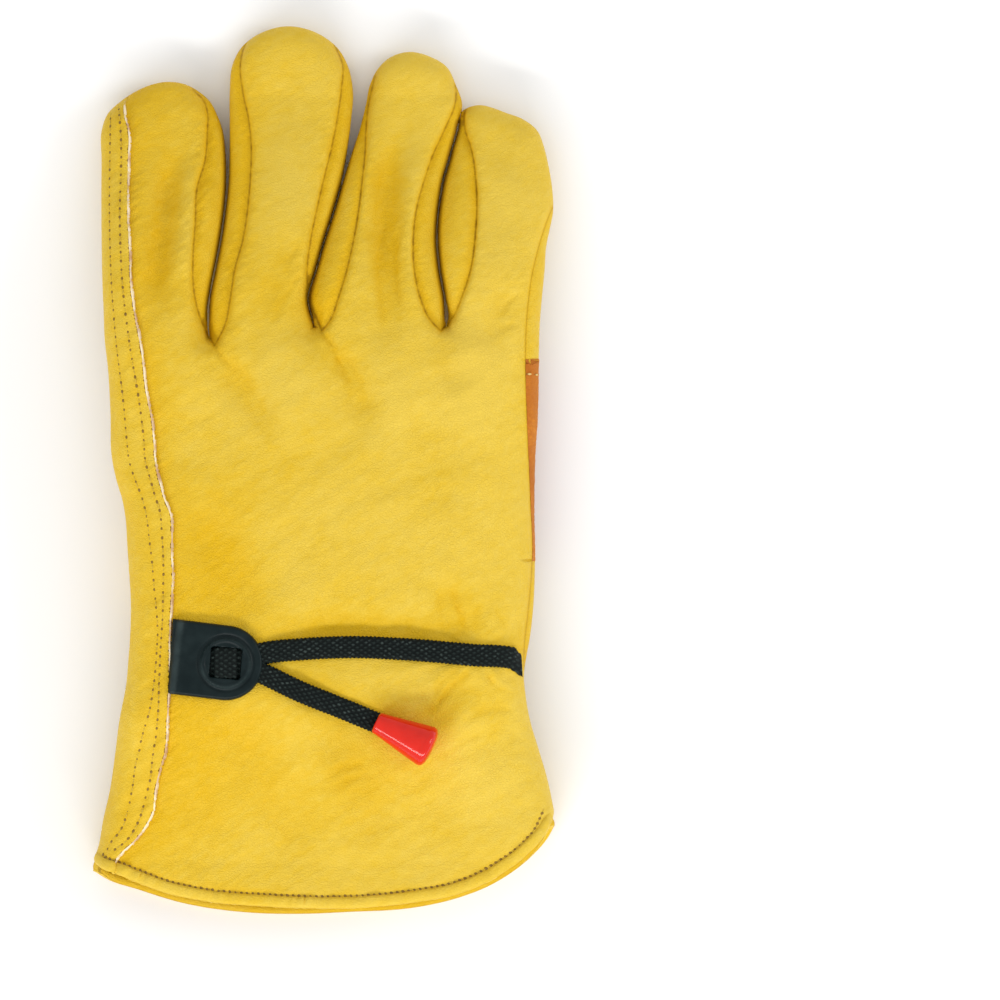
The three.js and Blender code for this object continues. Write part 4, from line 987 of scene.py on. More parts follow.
@lru_cache(None)
def tab_material():
    made, nodes, shader = new_material("Moulded black plastic")
    place = nodes.add("ShaderNodeTexCoord").outputs["Object"]
    spark = nodes.add("ShaderNodeTexNoise", {"Vector": place, "Scale": 1900.0, "Detail": 3.0}).outputs["Fac"]
    worn = nodes.add("ShaderNodeTexNoise", {"Vector": place, "Scale": 240.0, "Detail": 4.0}).outputs["Fac"]
    base = nodes.mix(nodes.ramp(worn, 0.35, 0.7), colour(settings().tab_colour), (0.007, 0.015, 0.016, 1))
    # Painted highlight on the disc's rim, and a paler band along the raised ridge at the tab's end.
    paler_ridge_and_highlight = nodes.add("ShaderNodeAttribute", attribute_name="paler_ridge_and_highlight").outputs["Fac"]
    base = nodes.mix(nodes.math("MULTIPLY", paler_ridge_and_highlight, nodes.ramp(worn, 0.3, 0.7, 0.5, 1.0)), base, (0.034, 0.05, 0.05, 1))
    connect(nodes, shader, Base_Color=base, Roughness=nodes.ramp(worn, 0.3, 0.7, 0.34, 0.48),
            Specular_IOR_Level=0.14, Normal=bump(nodes, spark, 0.3, 0.0001))
    return made


@lru_cache(None)
def tape_material():
    made, nodes, shader = new_material("Woven tape")
    place = nodes.add("ShaderNodeTexCoord").outputs["Object"]
    strand = nodes.add("ShaderNodeTexNoise", {"Vector": place, "Scale": 3200.0, "Detail": 4.0}).outputs["Fac"]
    base = nodes.mix(nodes.ramp(strand, 0.35, 0.7), (0.0015, 0.003, 0.003, 1), colour(settings().tape_colour))
    height = nodes.add("ShaderNodeAttribute", attribute_name="weave").outputs["Fac"]
    # Painted highlight on the raised strands, with brighter painted highlight flecks on them.
    base = nodes.mix(nodes.ramp(height, 0.45, 1.0, 0.0, 0.7), base, (0.02, 0.032, 0.028, 1))
    fleck_highlight = nodes.add("ShaderNodeTexNoise", {"Vector": place, "Scale": 700.0, "Detail": 1.0}).outputs["Fac"]
    fleck_highlight = nodes.math("MULTIPLY", nodes.ramp(fleck_highlight, 0.55, 0.7), nodes.ramp(height, 0.3, 0.8))
    base = nodes.mix(fleck_highlight, base, (0.042, 0.058, 0.053, 1))
    connect(nodes, shader, Base_Color=base, Roughness=0.7, Specular_IOR_Level=0.12,
            Normal=bump(nodes, strand, 0.7, 0.00015))
    return made


@lru_cache(None)
def pull_material():
    made, nodes, shader = new_material("Glossy red plastic")
    place = nodes.add("ShaderNodeTexCoord").outputs["Object"]
    cloud = nodes.add("ShaderNodeTexNoise", {"Vector": place, "Scale": 160.0, "Detail": 2.0}).outputs["Fac"]
    s = settings()
    base = nodes.mix(nodes.ramp(cloud, 0.3, 0.7), colour(s.pull_colour), (0.6, 0.012, 0.004, 1))
    connect(nodes, shader, Base_Color=base, Roughness=nodes.ramp(cloud, 0.3, 0.7, 0.14, 0.2),
            Specular_IOR_Level=0.2, Coat_Weight=0.3, Coat_Roughness=0.05, Normal=bump(nodes, cloud, 0.1, 0.0003))
    return made


@lru_cache(None)
def thread_material(name, rgb):
    made, nodes, shader = new_material(name)
    place = nodes.add("ShaderNodeTexCoord").outputs["Object"]
    twist = nodes.add("ShaderNodeTexNoise", {"Vector": place, "Scale": 2600.0, "Detail": 2.0}).outputs["Fac"]
    dark = tuple(value * 0.6 for value in rgb)
    base = nodes.mix(nodes.ramp(twist, 0.3, 0.7), colour(dark), colour(rgb))
    connect(nodes, shader, Base_Color=base, Roughness=0.6, Normal=bump(nodes, twist, 0.5, 0.0001))
    return made


# Pieces

PANEL_NAMES = {0: ("leather_back", "back_panel"), 2: ("leather_gusset_index_middle", "index_middle_gusset"),
               3: ("leather_gusset_middle_ring", "middle_ring_gusset"),
               4: ("leather_gusset_ring_little", "ring_little_gusset")}


class GLOVE_OT_back(bpy.types.Operator):
    """Back panel and the gussets between the fingers"""
    bl_idname = "glove.back"
    bl_label = "Back and Gussets"

    def execute(self, context):
        points, triangles, looks, panel = back_sheet()
        for number, (name, node) in PANEL_NAMES.items():
            # The gussets get a darker tone as painted shade, for they lie sunk between the fingers.
            deeper = (0, 0.0) if number == 0 else (0, 0.55)
            obj = mesh_object(name, points, triangles[panel == number], looks + deeper)
            thicken(obj, settings().leather_thickness)
            dress(obj, leather_material(), "leather", node)
        return {"FINISHED"}


def patch_weight(points):
    """How far the leather gives way under the suede at the little-finger side, from 0 to 1."""
    low, high = PATCH_ENDS[1], PATCH_ENDS[0]
    held = (points[:, 1] < high + 0.05) & (points[:, 1] > low - 0.05)
    return held * smoothstep(points[:, 0], 46, 56)


def pushed(obj, distance):
    """Moves the points of a mesh along their normals, each by its own distance in millimetres."""
    normals = np.array([tuple(n.vector) for n in obj.data.vertex_normals])
    places = np.array([tuple(v.co) for v in obj.data.vertices])
    obj.data.vertices.foreach_set("co", (places + normals * (distance * MM)[:, None]).ravel())
    obj.data.update()


def places_of(obj):
    return np.array([tuple(v.co) for v in obj.data.vertices]) / MM


class GLOVE_OT_palm(bpy.types.Operator):
    """Palm panel with its wrapped sides, and the palm side of the two middle fingers"""
    bl_idname = "glove.palm"
    bl_label = "Palm Panels"

    def execute(self, context):
        top, top_triangles, top_looks, top_panel = back_sheet()
        low, low_triangles, low_looks, low_panel = palm_sheet()
        wrapped = top_triangles[(top_panel == 1) | (top_panel == 5)]
        below = low_triangles[low_panel == 0][:, ::-1] + len(top)
        points, faces, looks = weld(np.vstack([top, low]), np.vstack([wrapped, below]),
                                    np.vstack([top_looks, low_looks]))
        obj = mesh_object("leather_palm", points, faces, looks)
        pushed(obj, -1.15 * patch_weight(places_of(obj)))
        thicken(obj, settings().leather_thickness)
        dress(obj, leather_material(), "leather", "palm_panel")
        obj = mesh_object("leather_middle_ring_palm", low, low_triangles[low_panel == 1][:, ::-1], low_looks)
        thicken(obj, settings().leather_thickness)
        dress(obj, leather_material(), "leather", "middle_ring_palm")
        return {"FINISHED"}


class GLOVE_OT_patch(bpy.types.Operator):
    """Suede patch over the palm, wrapped round the little-finger side"""
    bl_idname = "glove.patch"
    bl_label = "Suede Patch"

    def execute(self, context):
        top, top_triangles, top_looks, top_panel = back_sheet()
        low, low_triangles, low_looks, low_panel = palm_sheet()
        centres = top[top_triangles].mean(1)[:, :2]
        low_end, high_end = PATCH_ENDS[1] - PATCH_LAP, PATCH_ENDS[0] + PATCH_LAP
        side = top_triangles[(top_panel == 5) & (centres[:, 1] < high_end) & (centres[:, 1] > low_end)]
        centres = low[low_triangles].mean(1)[:, :2]
        below = low_triangles[inside(np.array(PATCH), centres) & (low_panel == 0)][:, ::-1] + len(top)
        points, faces, looks = weld(np.vstack([top, low]), np.vstack([side, below]),
                                    np.vstack([top_looks, low_looks]))
        obj = mesh_object("suede_patch", points, faces, looks)
        places = places_of(obj)
        fluff = 0.12 * noise(places[:, 0] / 1.1, (places[:, 1] + places[:, 2]) / 1.1, SEED + 16)
        pushed(obj, 0.2 - 1.1 * smoothstep(places[:, 0], 46, 56) + fluff)
        thicken(obj, 1.0 * MM, 1.0)
        dress(obj, suede_material(), "suede", "palm_patch")
        return {"FINISHED"}


def surface_frame(surface, line, inward_sign, lift=0.0):
    """Points of a line on a surface, with their normals and the direction away from the line."""
    xy = np.asarray(line, float)
    h = 0.25
    z = surface(xy)
    dx = (surface(xy + (h, 0)) - surface(xy - (h, 0))) / (2 * h)
    dy = (surface(xy + (0, h)) - surface(xy - (0, h))) / (2 * h)
    normal = np.column_stack([-dx, -dy, np.ones(len(xy))])
    normal /= np.linalg.norm(normal, axis=1)[:, None]
    points = np.column_stack([xy, z]) + normal * lift
    along = np.gradient(points, axis=0)
    along /= np.linalg.norm(along, axis=1)[:, None]
    inward = np.cross(normal, along) * inward_sign
    inward /= np.linalg.norm(inward, axis=1)[:, None]
    return points, normal, along, inward


def swept(name, rings, closed_ends=True):
    """A tube through rings of points, in millimetres."""
    rings = np.asarray(rings)
    count, sides = rings.shape[:2]
    faces = []
    for ring in range(count - 1):
        for side in range(sides):
            a, b = ring * sides + side, ring * sides + (side + 1) % sides
            faces.append((a, b, b + sides, a + sides))
    if closed_ends:
        faces.append(tuple(range(sides))[::-1])
        faces.append(tuple((count - 1) * sides + k for k in range(sides)))
    mesh = bpy.data.meshes.new(name)
    mesh.from_pydata((rings.reshape(-1, 3) * MM).tolist(), [], faces)
    obj = bpy.data.objects.new(name, mesh)
    bpy.context.scene.collection.objects.link(obj)
    face_out(obj)
    mesh.shade_smooth()
    mesh.set_sharp_from_angle(angle=math.radians(60))
    return obj


def face_out(obj):
    """Turns a closed mesh right side out."""
    made = bmesh.new()
    made.from_mesh(obj.data)
    bmesh.ops.recalc_face_normals(made, faces=made.faces)
    made.to_mesh(obj.data)
    made.free()


def even_looks(obj, painted_crease_shade, tone):
    """One painted shade of creases and one tone with painted shading, all over a piece."""
    for name, value in (("painted_crease_shade", painted_crease_shade), ("tone", tone)):
        data = obj.data.attributes.new(name, "FLOAT", "POINT").data
        data.foreach_set("value", np.full(len(obj.data.vertices), value, np.float32))


HEM_PROFILE = [(3.3, -0.5), (3.1, 0.35), (2.5, 0.62), (1.6, 0.72), (0.8, 0.6), (0.15, 0.2), (-0.1, -0.5),
               (0.1, -1.3), (0.7, -1.9), (1.6, -2.1), (2.6, -1.9), (3.2, -1.3)]


def back_height(xy):
    return back_surface(xy)[0]


def palm_height(xy):
    return palm_surface(xy)[0]


def trimmed(line, keep):
    """The part of a line that lies further inside the glove's sides than a distance."""
    gap, side, _, _ = side_lines().nearest(line)
    return line[(gap > keep) & (side < 0)]


class GLOVE_OT_hems(bpy.types.Operator):
    """Rolled hems round the cuff's mouth"""
    bl_idname = "glove.hems"
    bl_label = "Cuff Hems"

    def execute(self, context):
        for name, node, edge, surface, up in (("leather_back_hem", "back_hem", BACK_EDGE, back_height, 1),
                                              ("leather_palm_hem", "palm_hem", PALM_EDGE, palm_height, -1)):
            line = trimmed(spline(edge, 0.5), 0.35)
            points, normal, along, inward = surface_frame(surface, line, 1)
            normal = normal * up
            rings = [[points[i] + inward[i] * a + normal[i] * b for a, b in HEM_PROFILE]
                     for i in range(len(points))]
            rings = np.array(rings)
            rings[:, :, 2] = np.maximum(rings[:, :, 2], 0)
            obj = swept(name, rings)
            # Painted light makes the back hem's roll paler; the palm hem, under the back's edge, gets a darker tone and
            # painted shade on its inner band that the back's edge covers.
            even_looks(obj, 0.0, -0.15 if up > 0 else 0.8)
            if up < 0:
                under_edge_shade = np.tile([1.0 if a > 1.9 and b < -1.0 else 0.0 for a, b in HEM_PROFILE], len(rings))
                obj.data.attributes["painted_crease_shade"].data.foreach_set("value", under_edge_shade.astype(np.float32))
            dress(obj, leather_material(), "leather", node)
        return {"FINISHED"}


class GLOVE_OT_raw_edge(bpy.types.Operator):
    """Pale cut edge of the leather that is lapped over the back"""
    bl_idname = "glove.raw_edge"
    bl_label = "Cut Edge"

    def execute(self, context):
        curve = trimmed(resample(raw_curve(), 0.35), 0.6)
        curve = curve[back_edge_gap(curve) > 0.8]
        along = np.arange(len(curve)) * 0.35
        beside = np.column_stack([np.gradient(curve[:, 1]), -np.gradient(curve[:, 0])])
        beside /= np.linalg.norm(beside, axis=1)[:, None]
        wide = 0.42 + 0.2 * noise(along / 6, along * 0, SEED + 20) + 0.1 * noise(along / 1.3, along * 0, SEED + 21)
        wide *= smoothstep(along, 0, 3) * smoothstep(along[-1] - along, 0, 3) * 0.9 + 0.1
        upper = back_height(curve - beside * 0.25)
        lower = back_height(curve + beside * (wide[:, None] + 0.3))
        rings = []
        for i, place in enumerate(curve):
            profile = [(-0.3, upper[i] - 0.3), (-0.25, upper[i] + 0.04), (0.15, upper[i] - 0.02),
                       (0.5 * wide[i], 0.45 * upper[i] + 0.55 * lower[i] + 0.12), (wide[i], lower[i] + 0.03),
                       (wide[i] + 0.1, lower[i] - 0.3)]
            rings.append([(*(place + beside[i] * away), z) for away, z in profile])
        obj = swept("leather_cut_edge", rings)
        dress(obj, raw_edge_material(), "leather")
        return {"FINISHED"}


def back_edge_gap(xy):
    """How far points are inside the back's edge at the cuff."""
    gap, side, _, _ = lines_of("hem").nearest(xy)
    return gap * side


class GLOVE_OT_welt(bpy.types.Operator):
    """Raised welt where the two middle fingers are set into the palm"""
    bl_idname = "glove.welt"
    bl_label = "Palm Welt"

    def execute(self, context):
        line = spline(WELT[1:-1], 0.6)
        points, normal, along, inward = surface_frame(palm_height, line, 1)
        angle = np.linspace(0, 2 * np.pi, 12, endpoint=False)
        rings = [[points[i] + inward[i] * 1.1 * math.cos(a) - normal[i] * (0.75 * math.sin(a)) for a in angle]
                 for i in range(len(points))]
        obj = swept("leather_welt", rings)
        even_looks(obj, 0.0, 0.35)
        dress(obj, leather_material(), "leather", "palm_welt")
        return {"FINISHED"}


def pillow(name, outline, lines, spacing, coarse, rings, upper, lower, holes=()):
    """A closed solid over an outline, between two surfaces that meet at its border."""
    points, triangles = triangulate(outline, lines + [np.vstack([h, h[:1]]) for h in holes], rings, spacing, coarse)
    centres = points[triangles].mean(1)
    for hole in holes:
        triangles = triangles[~inside(hole, centres)]
        centres = points[triangles].mean(1)
    top = np.column_stack([points, upper(points)])
    base = np.column_stack([points, lower(points)])
    faces = np.vstack([triangles, triangles[:, ::-1] + len(points)])
    merged, faces, _ = weld(np.vstack([top, base]), faces, np.zeros(2 * len(points)))
    return mesh_object(name, merged, faces)


class GLOVE_OT_thumb(bpy.types.Operator):
    """Thumb, folded flat under the palm, with the collar that joins it to the palm"""
    bl_idname = "glove.thumb"
    bl_label = "Thumb"

    def execute(self, context):
        half = spline(THUMB_OUTLINE, 0.8)
        own = np.vstack([half, (half * (1, -1))[::-1][1:-1]])[::-1]
        outline = thumb_points(own)
        border = Lines([np.vstack([outline, outline[:1]])])
        seam = thumb_points(spline([(-16.0, -17.0), (0.0, -18.0), (30.0, -13.5), (56.0, -9.0), (71.0, 0.0)], 0.8))
        seam_line = Lines([seam])

        def middle(xy):
            return np.full(len(xy), THUMB_DEPTH / 2 - 0.3)

        def rise(xy):
            gap = border.nearest(xy)[0]
            fine = 0.25 * noise(xy[:, 0] / 9, xy[:, 1] / 9, SEED + 30)
            fine += 0.14 * (np.abs(noise(xy[:, 0] / 5, xy[:, 1] / 2.2, SEED + 31)) - 0.3)
            swell = roundness(gap)
            return (THUMB_DEPTH / 2 - 0.1) * swell, fine * smoothstep(gap, 0, 5), gap

        def upper(xy):
            swell, fine, _ = rise(xy)
            return middle(xy) + swell * 0.98 + np.minimum(fine, 0.1)

        def lower(xy):
            swell, fine, gap = rise(xy)
            dip = 0.9 * np.exp(-((seam_line.nearest(xy)[0] / 1.1) ** 2)) * smoothstep(gap, 0, 3)
            return np.maximum(middle(xy) - swell + np.maximum(fine, -0.2) + dip, 0)

        obj = pillow("leather_thumb", outline, [seam], Spacing(0.6, 1.5, 6.0), 1.5, (0.05, 0.3, 0.8), upper, lower)
        even_looks(obj, 0.0, 0.1)
        obj = settle(obj)
        dress(obj, leather_material(), "leather", "thumb")
        rings = []
        for z, wider in ((THUMB_DEPTH - 2.2, 2.4), (THUMB_DEPTH - 0.8, 0.9), (THUMB_DEPTH + 0.4, 0.3),
                         (THUMB_DEPTH + 1.8, 0.6), (PALM_LIFT + 0.6, 1.6)):
            loop = thumb_points(oval(THUMB_HOLE[0] + wider, THUMB_HOLE[1] + wider))
            rings.append(np.column_stack([loop, np.full(len(loop), z)]))
        for z, wider in ((PALM_LIFT + 0.6, 0.4), (THUMB_DEPTH + 1.8, -0.6), (THUMB_DEPTH - 0.8, -0.5),
                         (THUMB_DEPTH - 2.2, 1.0)):
            loop = thumb_points(oval(THUMB_HOLE[0] + wider, THUMB_HOLE[1] + wider))
            rings.append(np.column_stack([loop, np.full(len(loop), z)]))
        rings.append(rings[0])
        collar = swept("leather_thumb_collar", rings, closed_ends=False)
        even_looks(collar, 0.0, 0.5)
        dress(collar, leather_material(), "leather")
        return {"FINISHED"}


def turned(points, angle, centre):
    points = np.asarray(points, float)
    turn = np.array([[math.cos(angle), math.sin(angle)], [-math.sin(angle), math.cos(angle)]])
    return np.array(centre) + points @ turn


def tab_frame(xy):
    """Points in the closure tab's own frame, along it and across it."""
    turn = np.array([[math.cos(TAB_TURN), -math.sin(TAB_TURN)], [math.sin(TAB_TURN), math.cos(TAB_TURN)]])
    return (xy - np.array(TAB_CENTRE)) @ turn


@lru_cache(None)
def tab_outline():
    radius, straight = 10.7, 15.9
    arc = np.linspace(-math.pi / 2, math.pi / 2, 50)
    side = np.linspace(0, 1, 26)[:, None]
    corners = np.array([(-straight + 0.4, -radius)]), np.array([(-straight - 0.6, radius)])
    low = corners[0] * (1 - side) + np.array([(0.0, -radius)]) * side
    high = np.array([(0.0, radius)]) * (1 - side) + corners[1] * side
    left = corners[1] * (1 - side) + corners[0] * side
    own = np.vstack([low[:-1], np.column_stack([radius * np.cos(arc), radius * np.sin(arc)]), high[1:-1],
                     left[:-1]])
    return turned(own, TAB_TURN, TAB_CENTRE)


def window_corners(half):
    """The window's border, with corners a little rounded."""
    corner = 0.5
    loop = []
    for sx, sy, start in ((1, -1, -90), (1, 1, 0), (-1, 1, 90), (-1, -1, 180)):
        for angle in np.radians(start + np.linspace(0, 90, 5)):
            loop.append((sx * (half - corner) + corner * math.cos(angle), sy * (half - corner) + corner * math.sin(angle)))
    closed = np.array(loop + loop[:1])
    return turned(resample(closed, 0.35)[:-1], 0.7 * TAB_TURN, TAB_CENTRE)


class GLOVE_OT_tab(bpy.types.Operator):
    """Moulded tab with a raised disc and a window for the strap"""
    bl_idname = "glove.tab"
    bl_label = "Closure Tab"

    def execute(self, context):
        outline, window = tab_outline(), window_corners(4.2)
        border = Lines([np.vstack([outline, outline[:1]])])
        hole = Lines([np.vstack([window, window[:1]])])
        circle = turned(oval(7.1, 7.1, 72), 0.0, TAB_CENTRE)
        inner = turned(oval(6.0, 6.0, 64), 0.0, TAB_CENTRE)

        def lower(xy):
            return smooth_back(xy) + 0.15

        def upper(xy):
            own = tab_frame(xy)
            away = np.linalg.norm(xy - np.array(TAB_CENTRE), axis=1)
            edge = roundness(border.nearest(xy)[0], 1.0) * roundness(hole.nearest(xy)[0], 0.5)
            plate = 2.0 + 0.4 * np.exp(-(((own[:, 0] + 14.0) / 0.8) ** 4)) - 0.5 * smoothstep(-own[:, 0], 14.9, 15.5)
            disc = 0.7 * smoothstep(-away, -7.3, -6.9) - 0.3 * smoothstep(-away, -6.2, -5.8)
            groove = -0.35 * bell(away - 7.9, 0.45)
            return lower(xy) + (plate + disc + groove) * edge

        loops = [np.vstack([circle, circle[:1]]), np.vstack([inner, inner[:1]])]
        obj = pillow("closure_tab_moulding", outline, loops, Spacing(0.28, 0.8, 3.0), 0.8, (0.04, 0.2, 0.5),
                     upper, lower, holes=[window])
        settle(obj, 40)
        places = places_of(obj)[:, :2]
        own = tab_frame(places)
        away = np.linalg.norm(places - np.array(TAB_CENTRE), axis=1)
        turn = np.arctan2(own[:, 1], own[:, 0])
        # Painted highlight on the disc's rim at its lower left and right, and a paler band along the raised ridge at
        # the tab's end.
        lit = 0.35 + 0.65 * bell(np.abs(turn + 2.3), 0.9) + 0.4 * bell(np.abs(turn + 0.2), 0.8)
        paler_ridge_and_highlight = 0.7 * np.exp(-(((own[:, 0] + 14.2) / 0.9) ** 4)) + 0.8 * bell(away - 7.05, 0.35) * np.minimum(lit, 1)
        data = obj.data.attributes.new("paler_ridge_and_highlight", "FLOAT", "POINT").data
        data.foreach_set("value", np.clip(paler_ridge_and_highlight, 0, 1).astype(np.float32))
        dress(obj, tab_material(), "tab_plastic", "closure_tab")
        return {"FINISHED"}


def tape_mesh(name, line, half_width, thickness, base, cell=1.15, turned_end=False):
    """Flat braided tape along a line, its strands crossing in relief."""
    line = resample(np.asarray(line, float), 0.2)
    beside = np.column_stack([np.gradient(line[:, 1]), -np.gradient(line[:, 0])])
    beside /= np.linalg.norm(beside, axis=1)[:, None]
    across = np.linspace(-1, 1, 33)
    along = np.arange(len(line)) * 0.2
    wavy = half_width + 0.13 * np.sin(2 * np.pi * np.arange(len(line)) * 0.2 / cell)
    reach = wavy[:, None] * across[None, :]
    if turned_end:
        ending = smoothstep(along, along[-1] - 3.2, along[-1])[:, None]
        beside = beside * (1 - ending) + np.array([(0.05, -1.0)]) * ending
        reach = reach * (1 + 0.42 * ending * np.clip(across, 0, 1)[None, :] ** 3)
    place = line[:, None, :] + beside[:, None, :] * reach[:, :, None]
    if turned_end:
        corner = np.clip((-across - 0.3) / 0.7, 0, 1)[None, :]
        place[:, :, 0] -= 1.5 * ending * (1 - np.sqrt(1 - corner**2))
    floor = base(line)[:, None] + 0 * across[None, :]
    u = along[:, None] / cell
    v = across[None, :] * half_width / (cell * 0.62)
    weave = np.abs(np.sin(np.pi * (u + v) / 2)) * np.abs(np.sin(np.pi * (u - v) / 2))
    edge = (1 - np.abs(across) ** 8)[None, :] ** 0.5
    top = floor + thickness * (0.72 + 0.28 * edge) * edge + 0.34 * weave * edge
    rows, columns = top.shape
    upper = np.dstack([place, top]).reshape(-1, 3)
    lower = np.dstack([place, floor]).reshape(-1, 3)
    index = np.arange(rows * columns).reshape(rows, columns)
    a, b = index[:-1, :-1].ravel(), index[:-1, 1:].ravel()
    c, d = index[1:, 1:].ravel(), index[1:, :-1].ravel()
    quads = np.column_stack([a, b, c, d])
    count = rows * columns
    ends = []
    for row in (0, rows - 1):
        for k in range(columns - 1):
            ends.append((index[row, k], index[row, k + 1], index[row, k + 1] + count, index[row, k] + count))
    faces = np.vstack([quads, quads[:, ::-1] + count, np.array(ends)])
    mesh = bpy.data.meshes.new(name)
    mesh.from_pydata((np.vstack([upper, lower]) * MM).tolist(), [], faces.tolist())
    heights = np.concatenate([weave.ravel(), np.zeros(count)]).astype(np.float32)
    mesh.attributes.new("weave", "FLOAT", "POINT").data.foreach_set("value", heights)
    obj = bpy.data.objects.new(name, mesh)
    bpy.context.scene.collection.objects.link(obj)
    made = bmesh.new()
    made.from_mesh(mesh)
    bmesh.ops.remove_doubles(made, verts=made.verts, dist=0.002 * MM)
    bmesh.ops.recalc_face_normals(made, faces=made.faces)
    made.to_mesh(mesh)
    made.free()
    mesh.shade_smooth()
    mesh.set_sharp_from_angle(angle=math.radians(60))
    return obj


class GLOVE_OT_strap(bpy.types.Operator):
    """Woven strap over the wrist, its tail, and the stretch that shows in the tab's window"""
    bl_idname = "glove.strap"
    bl_label = "Wrist Strap"

    def execute(self, context):
        def run_base(xy):
            end = smoothstep(xy[:, 0], 54.0, 56.8)
            return smooth_back(xy) + 0.2 - 0.9 * end

        def tail_base(xy):
            return smooth_back(xy) + 0.2

        line = spline(RUN, 0.2)
        run = tape_mesh("strap_run", line, 3.15, 1.3, run_base, turned_end=True)
        tail = tape_mesh("strap_tail", spline(TAIL, 0.2), 3.0, 1.3, tail_base)
        dress(run, tape_material(), "webbing", "strap")
        dress(tail, tape_material(), "webbing")
        x, y = TAB_CENTRE
        window = spline([(x - 5.0, y), (x - 1.5, y), (x + 1.5, y), (x + 5.0, y)], 0.2)

        def window_base(xy):
            return smooth_back(xy) + 1.75 - 1.5 * smoothstep(np.abs(xy[:, 0] - x), 2.9, 3.8)

        web = tape_mesh("strap_window_web", window, 4.6, 1.1, window_base, 1.25)
        dress(web, tape_material(), "webbing", "strap_in_window")
        return {"FINISHED"}


class GLOVE_OT_pull(bpy.types.Operator):
    """Glossy tapered pull at the end of the strap's tail"""
    bl_idname = "glove.pull"
    bl_label = "Strap Pull"

    def execute(self, context):
        profile = spline([(0.0, 1.5), (0.0, 2.7), (0.35, 3.1), (1.2, 3.25), (8.0, 4.55), (14.4, 5.75), (15.8, 5.95),
                          (16.7, 5.7), (17.35, 4.9), (17.75, 3.6), (17.95, 2.0), (18.0, 0.25)], 0.3)
        start = np.array([14.9, -71.8])
        run = np.array([math.cos(PULL_TURN), math.sin(PULL_TURN)])
        ends = np.array([start, start + run * 18.0])
        z0, z1 = smooth_back(ends) + (0.35 + 3.15, 0.35 + 5.95)
        direction = Vector((*(run * 18.0), z1 - z0)).normalized()
        side = Vector((0, 0, 1)).cross(direction).normalized()
        up = direction.cross(side)
        angle = np.linspace(0, 2 * np.pi, 72, endpoint=False)
        rings = []
        for along, radius in profile:
            centre = Vector((*start, z0)) + direction * along
            rings.append([tuple(centre + side * (radius * math.cos(a)) + up * (radius * math.sin(a))) for a in angle])
        obj = swept("strap_pull_cone", rings)
        obj.data.set_sharp_from_angle(angle=math.radians(75))
        dress(obj, pull_material(), "pull_plastic", "strap_pull")
        return {"FINISHED"}


# Stitches

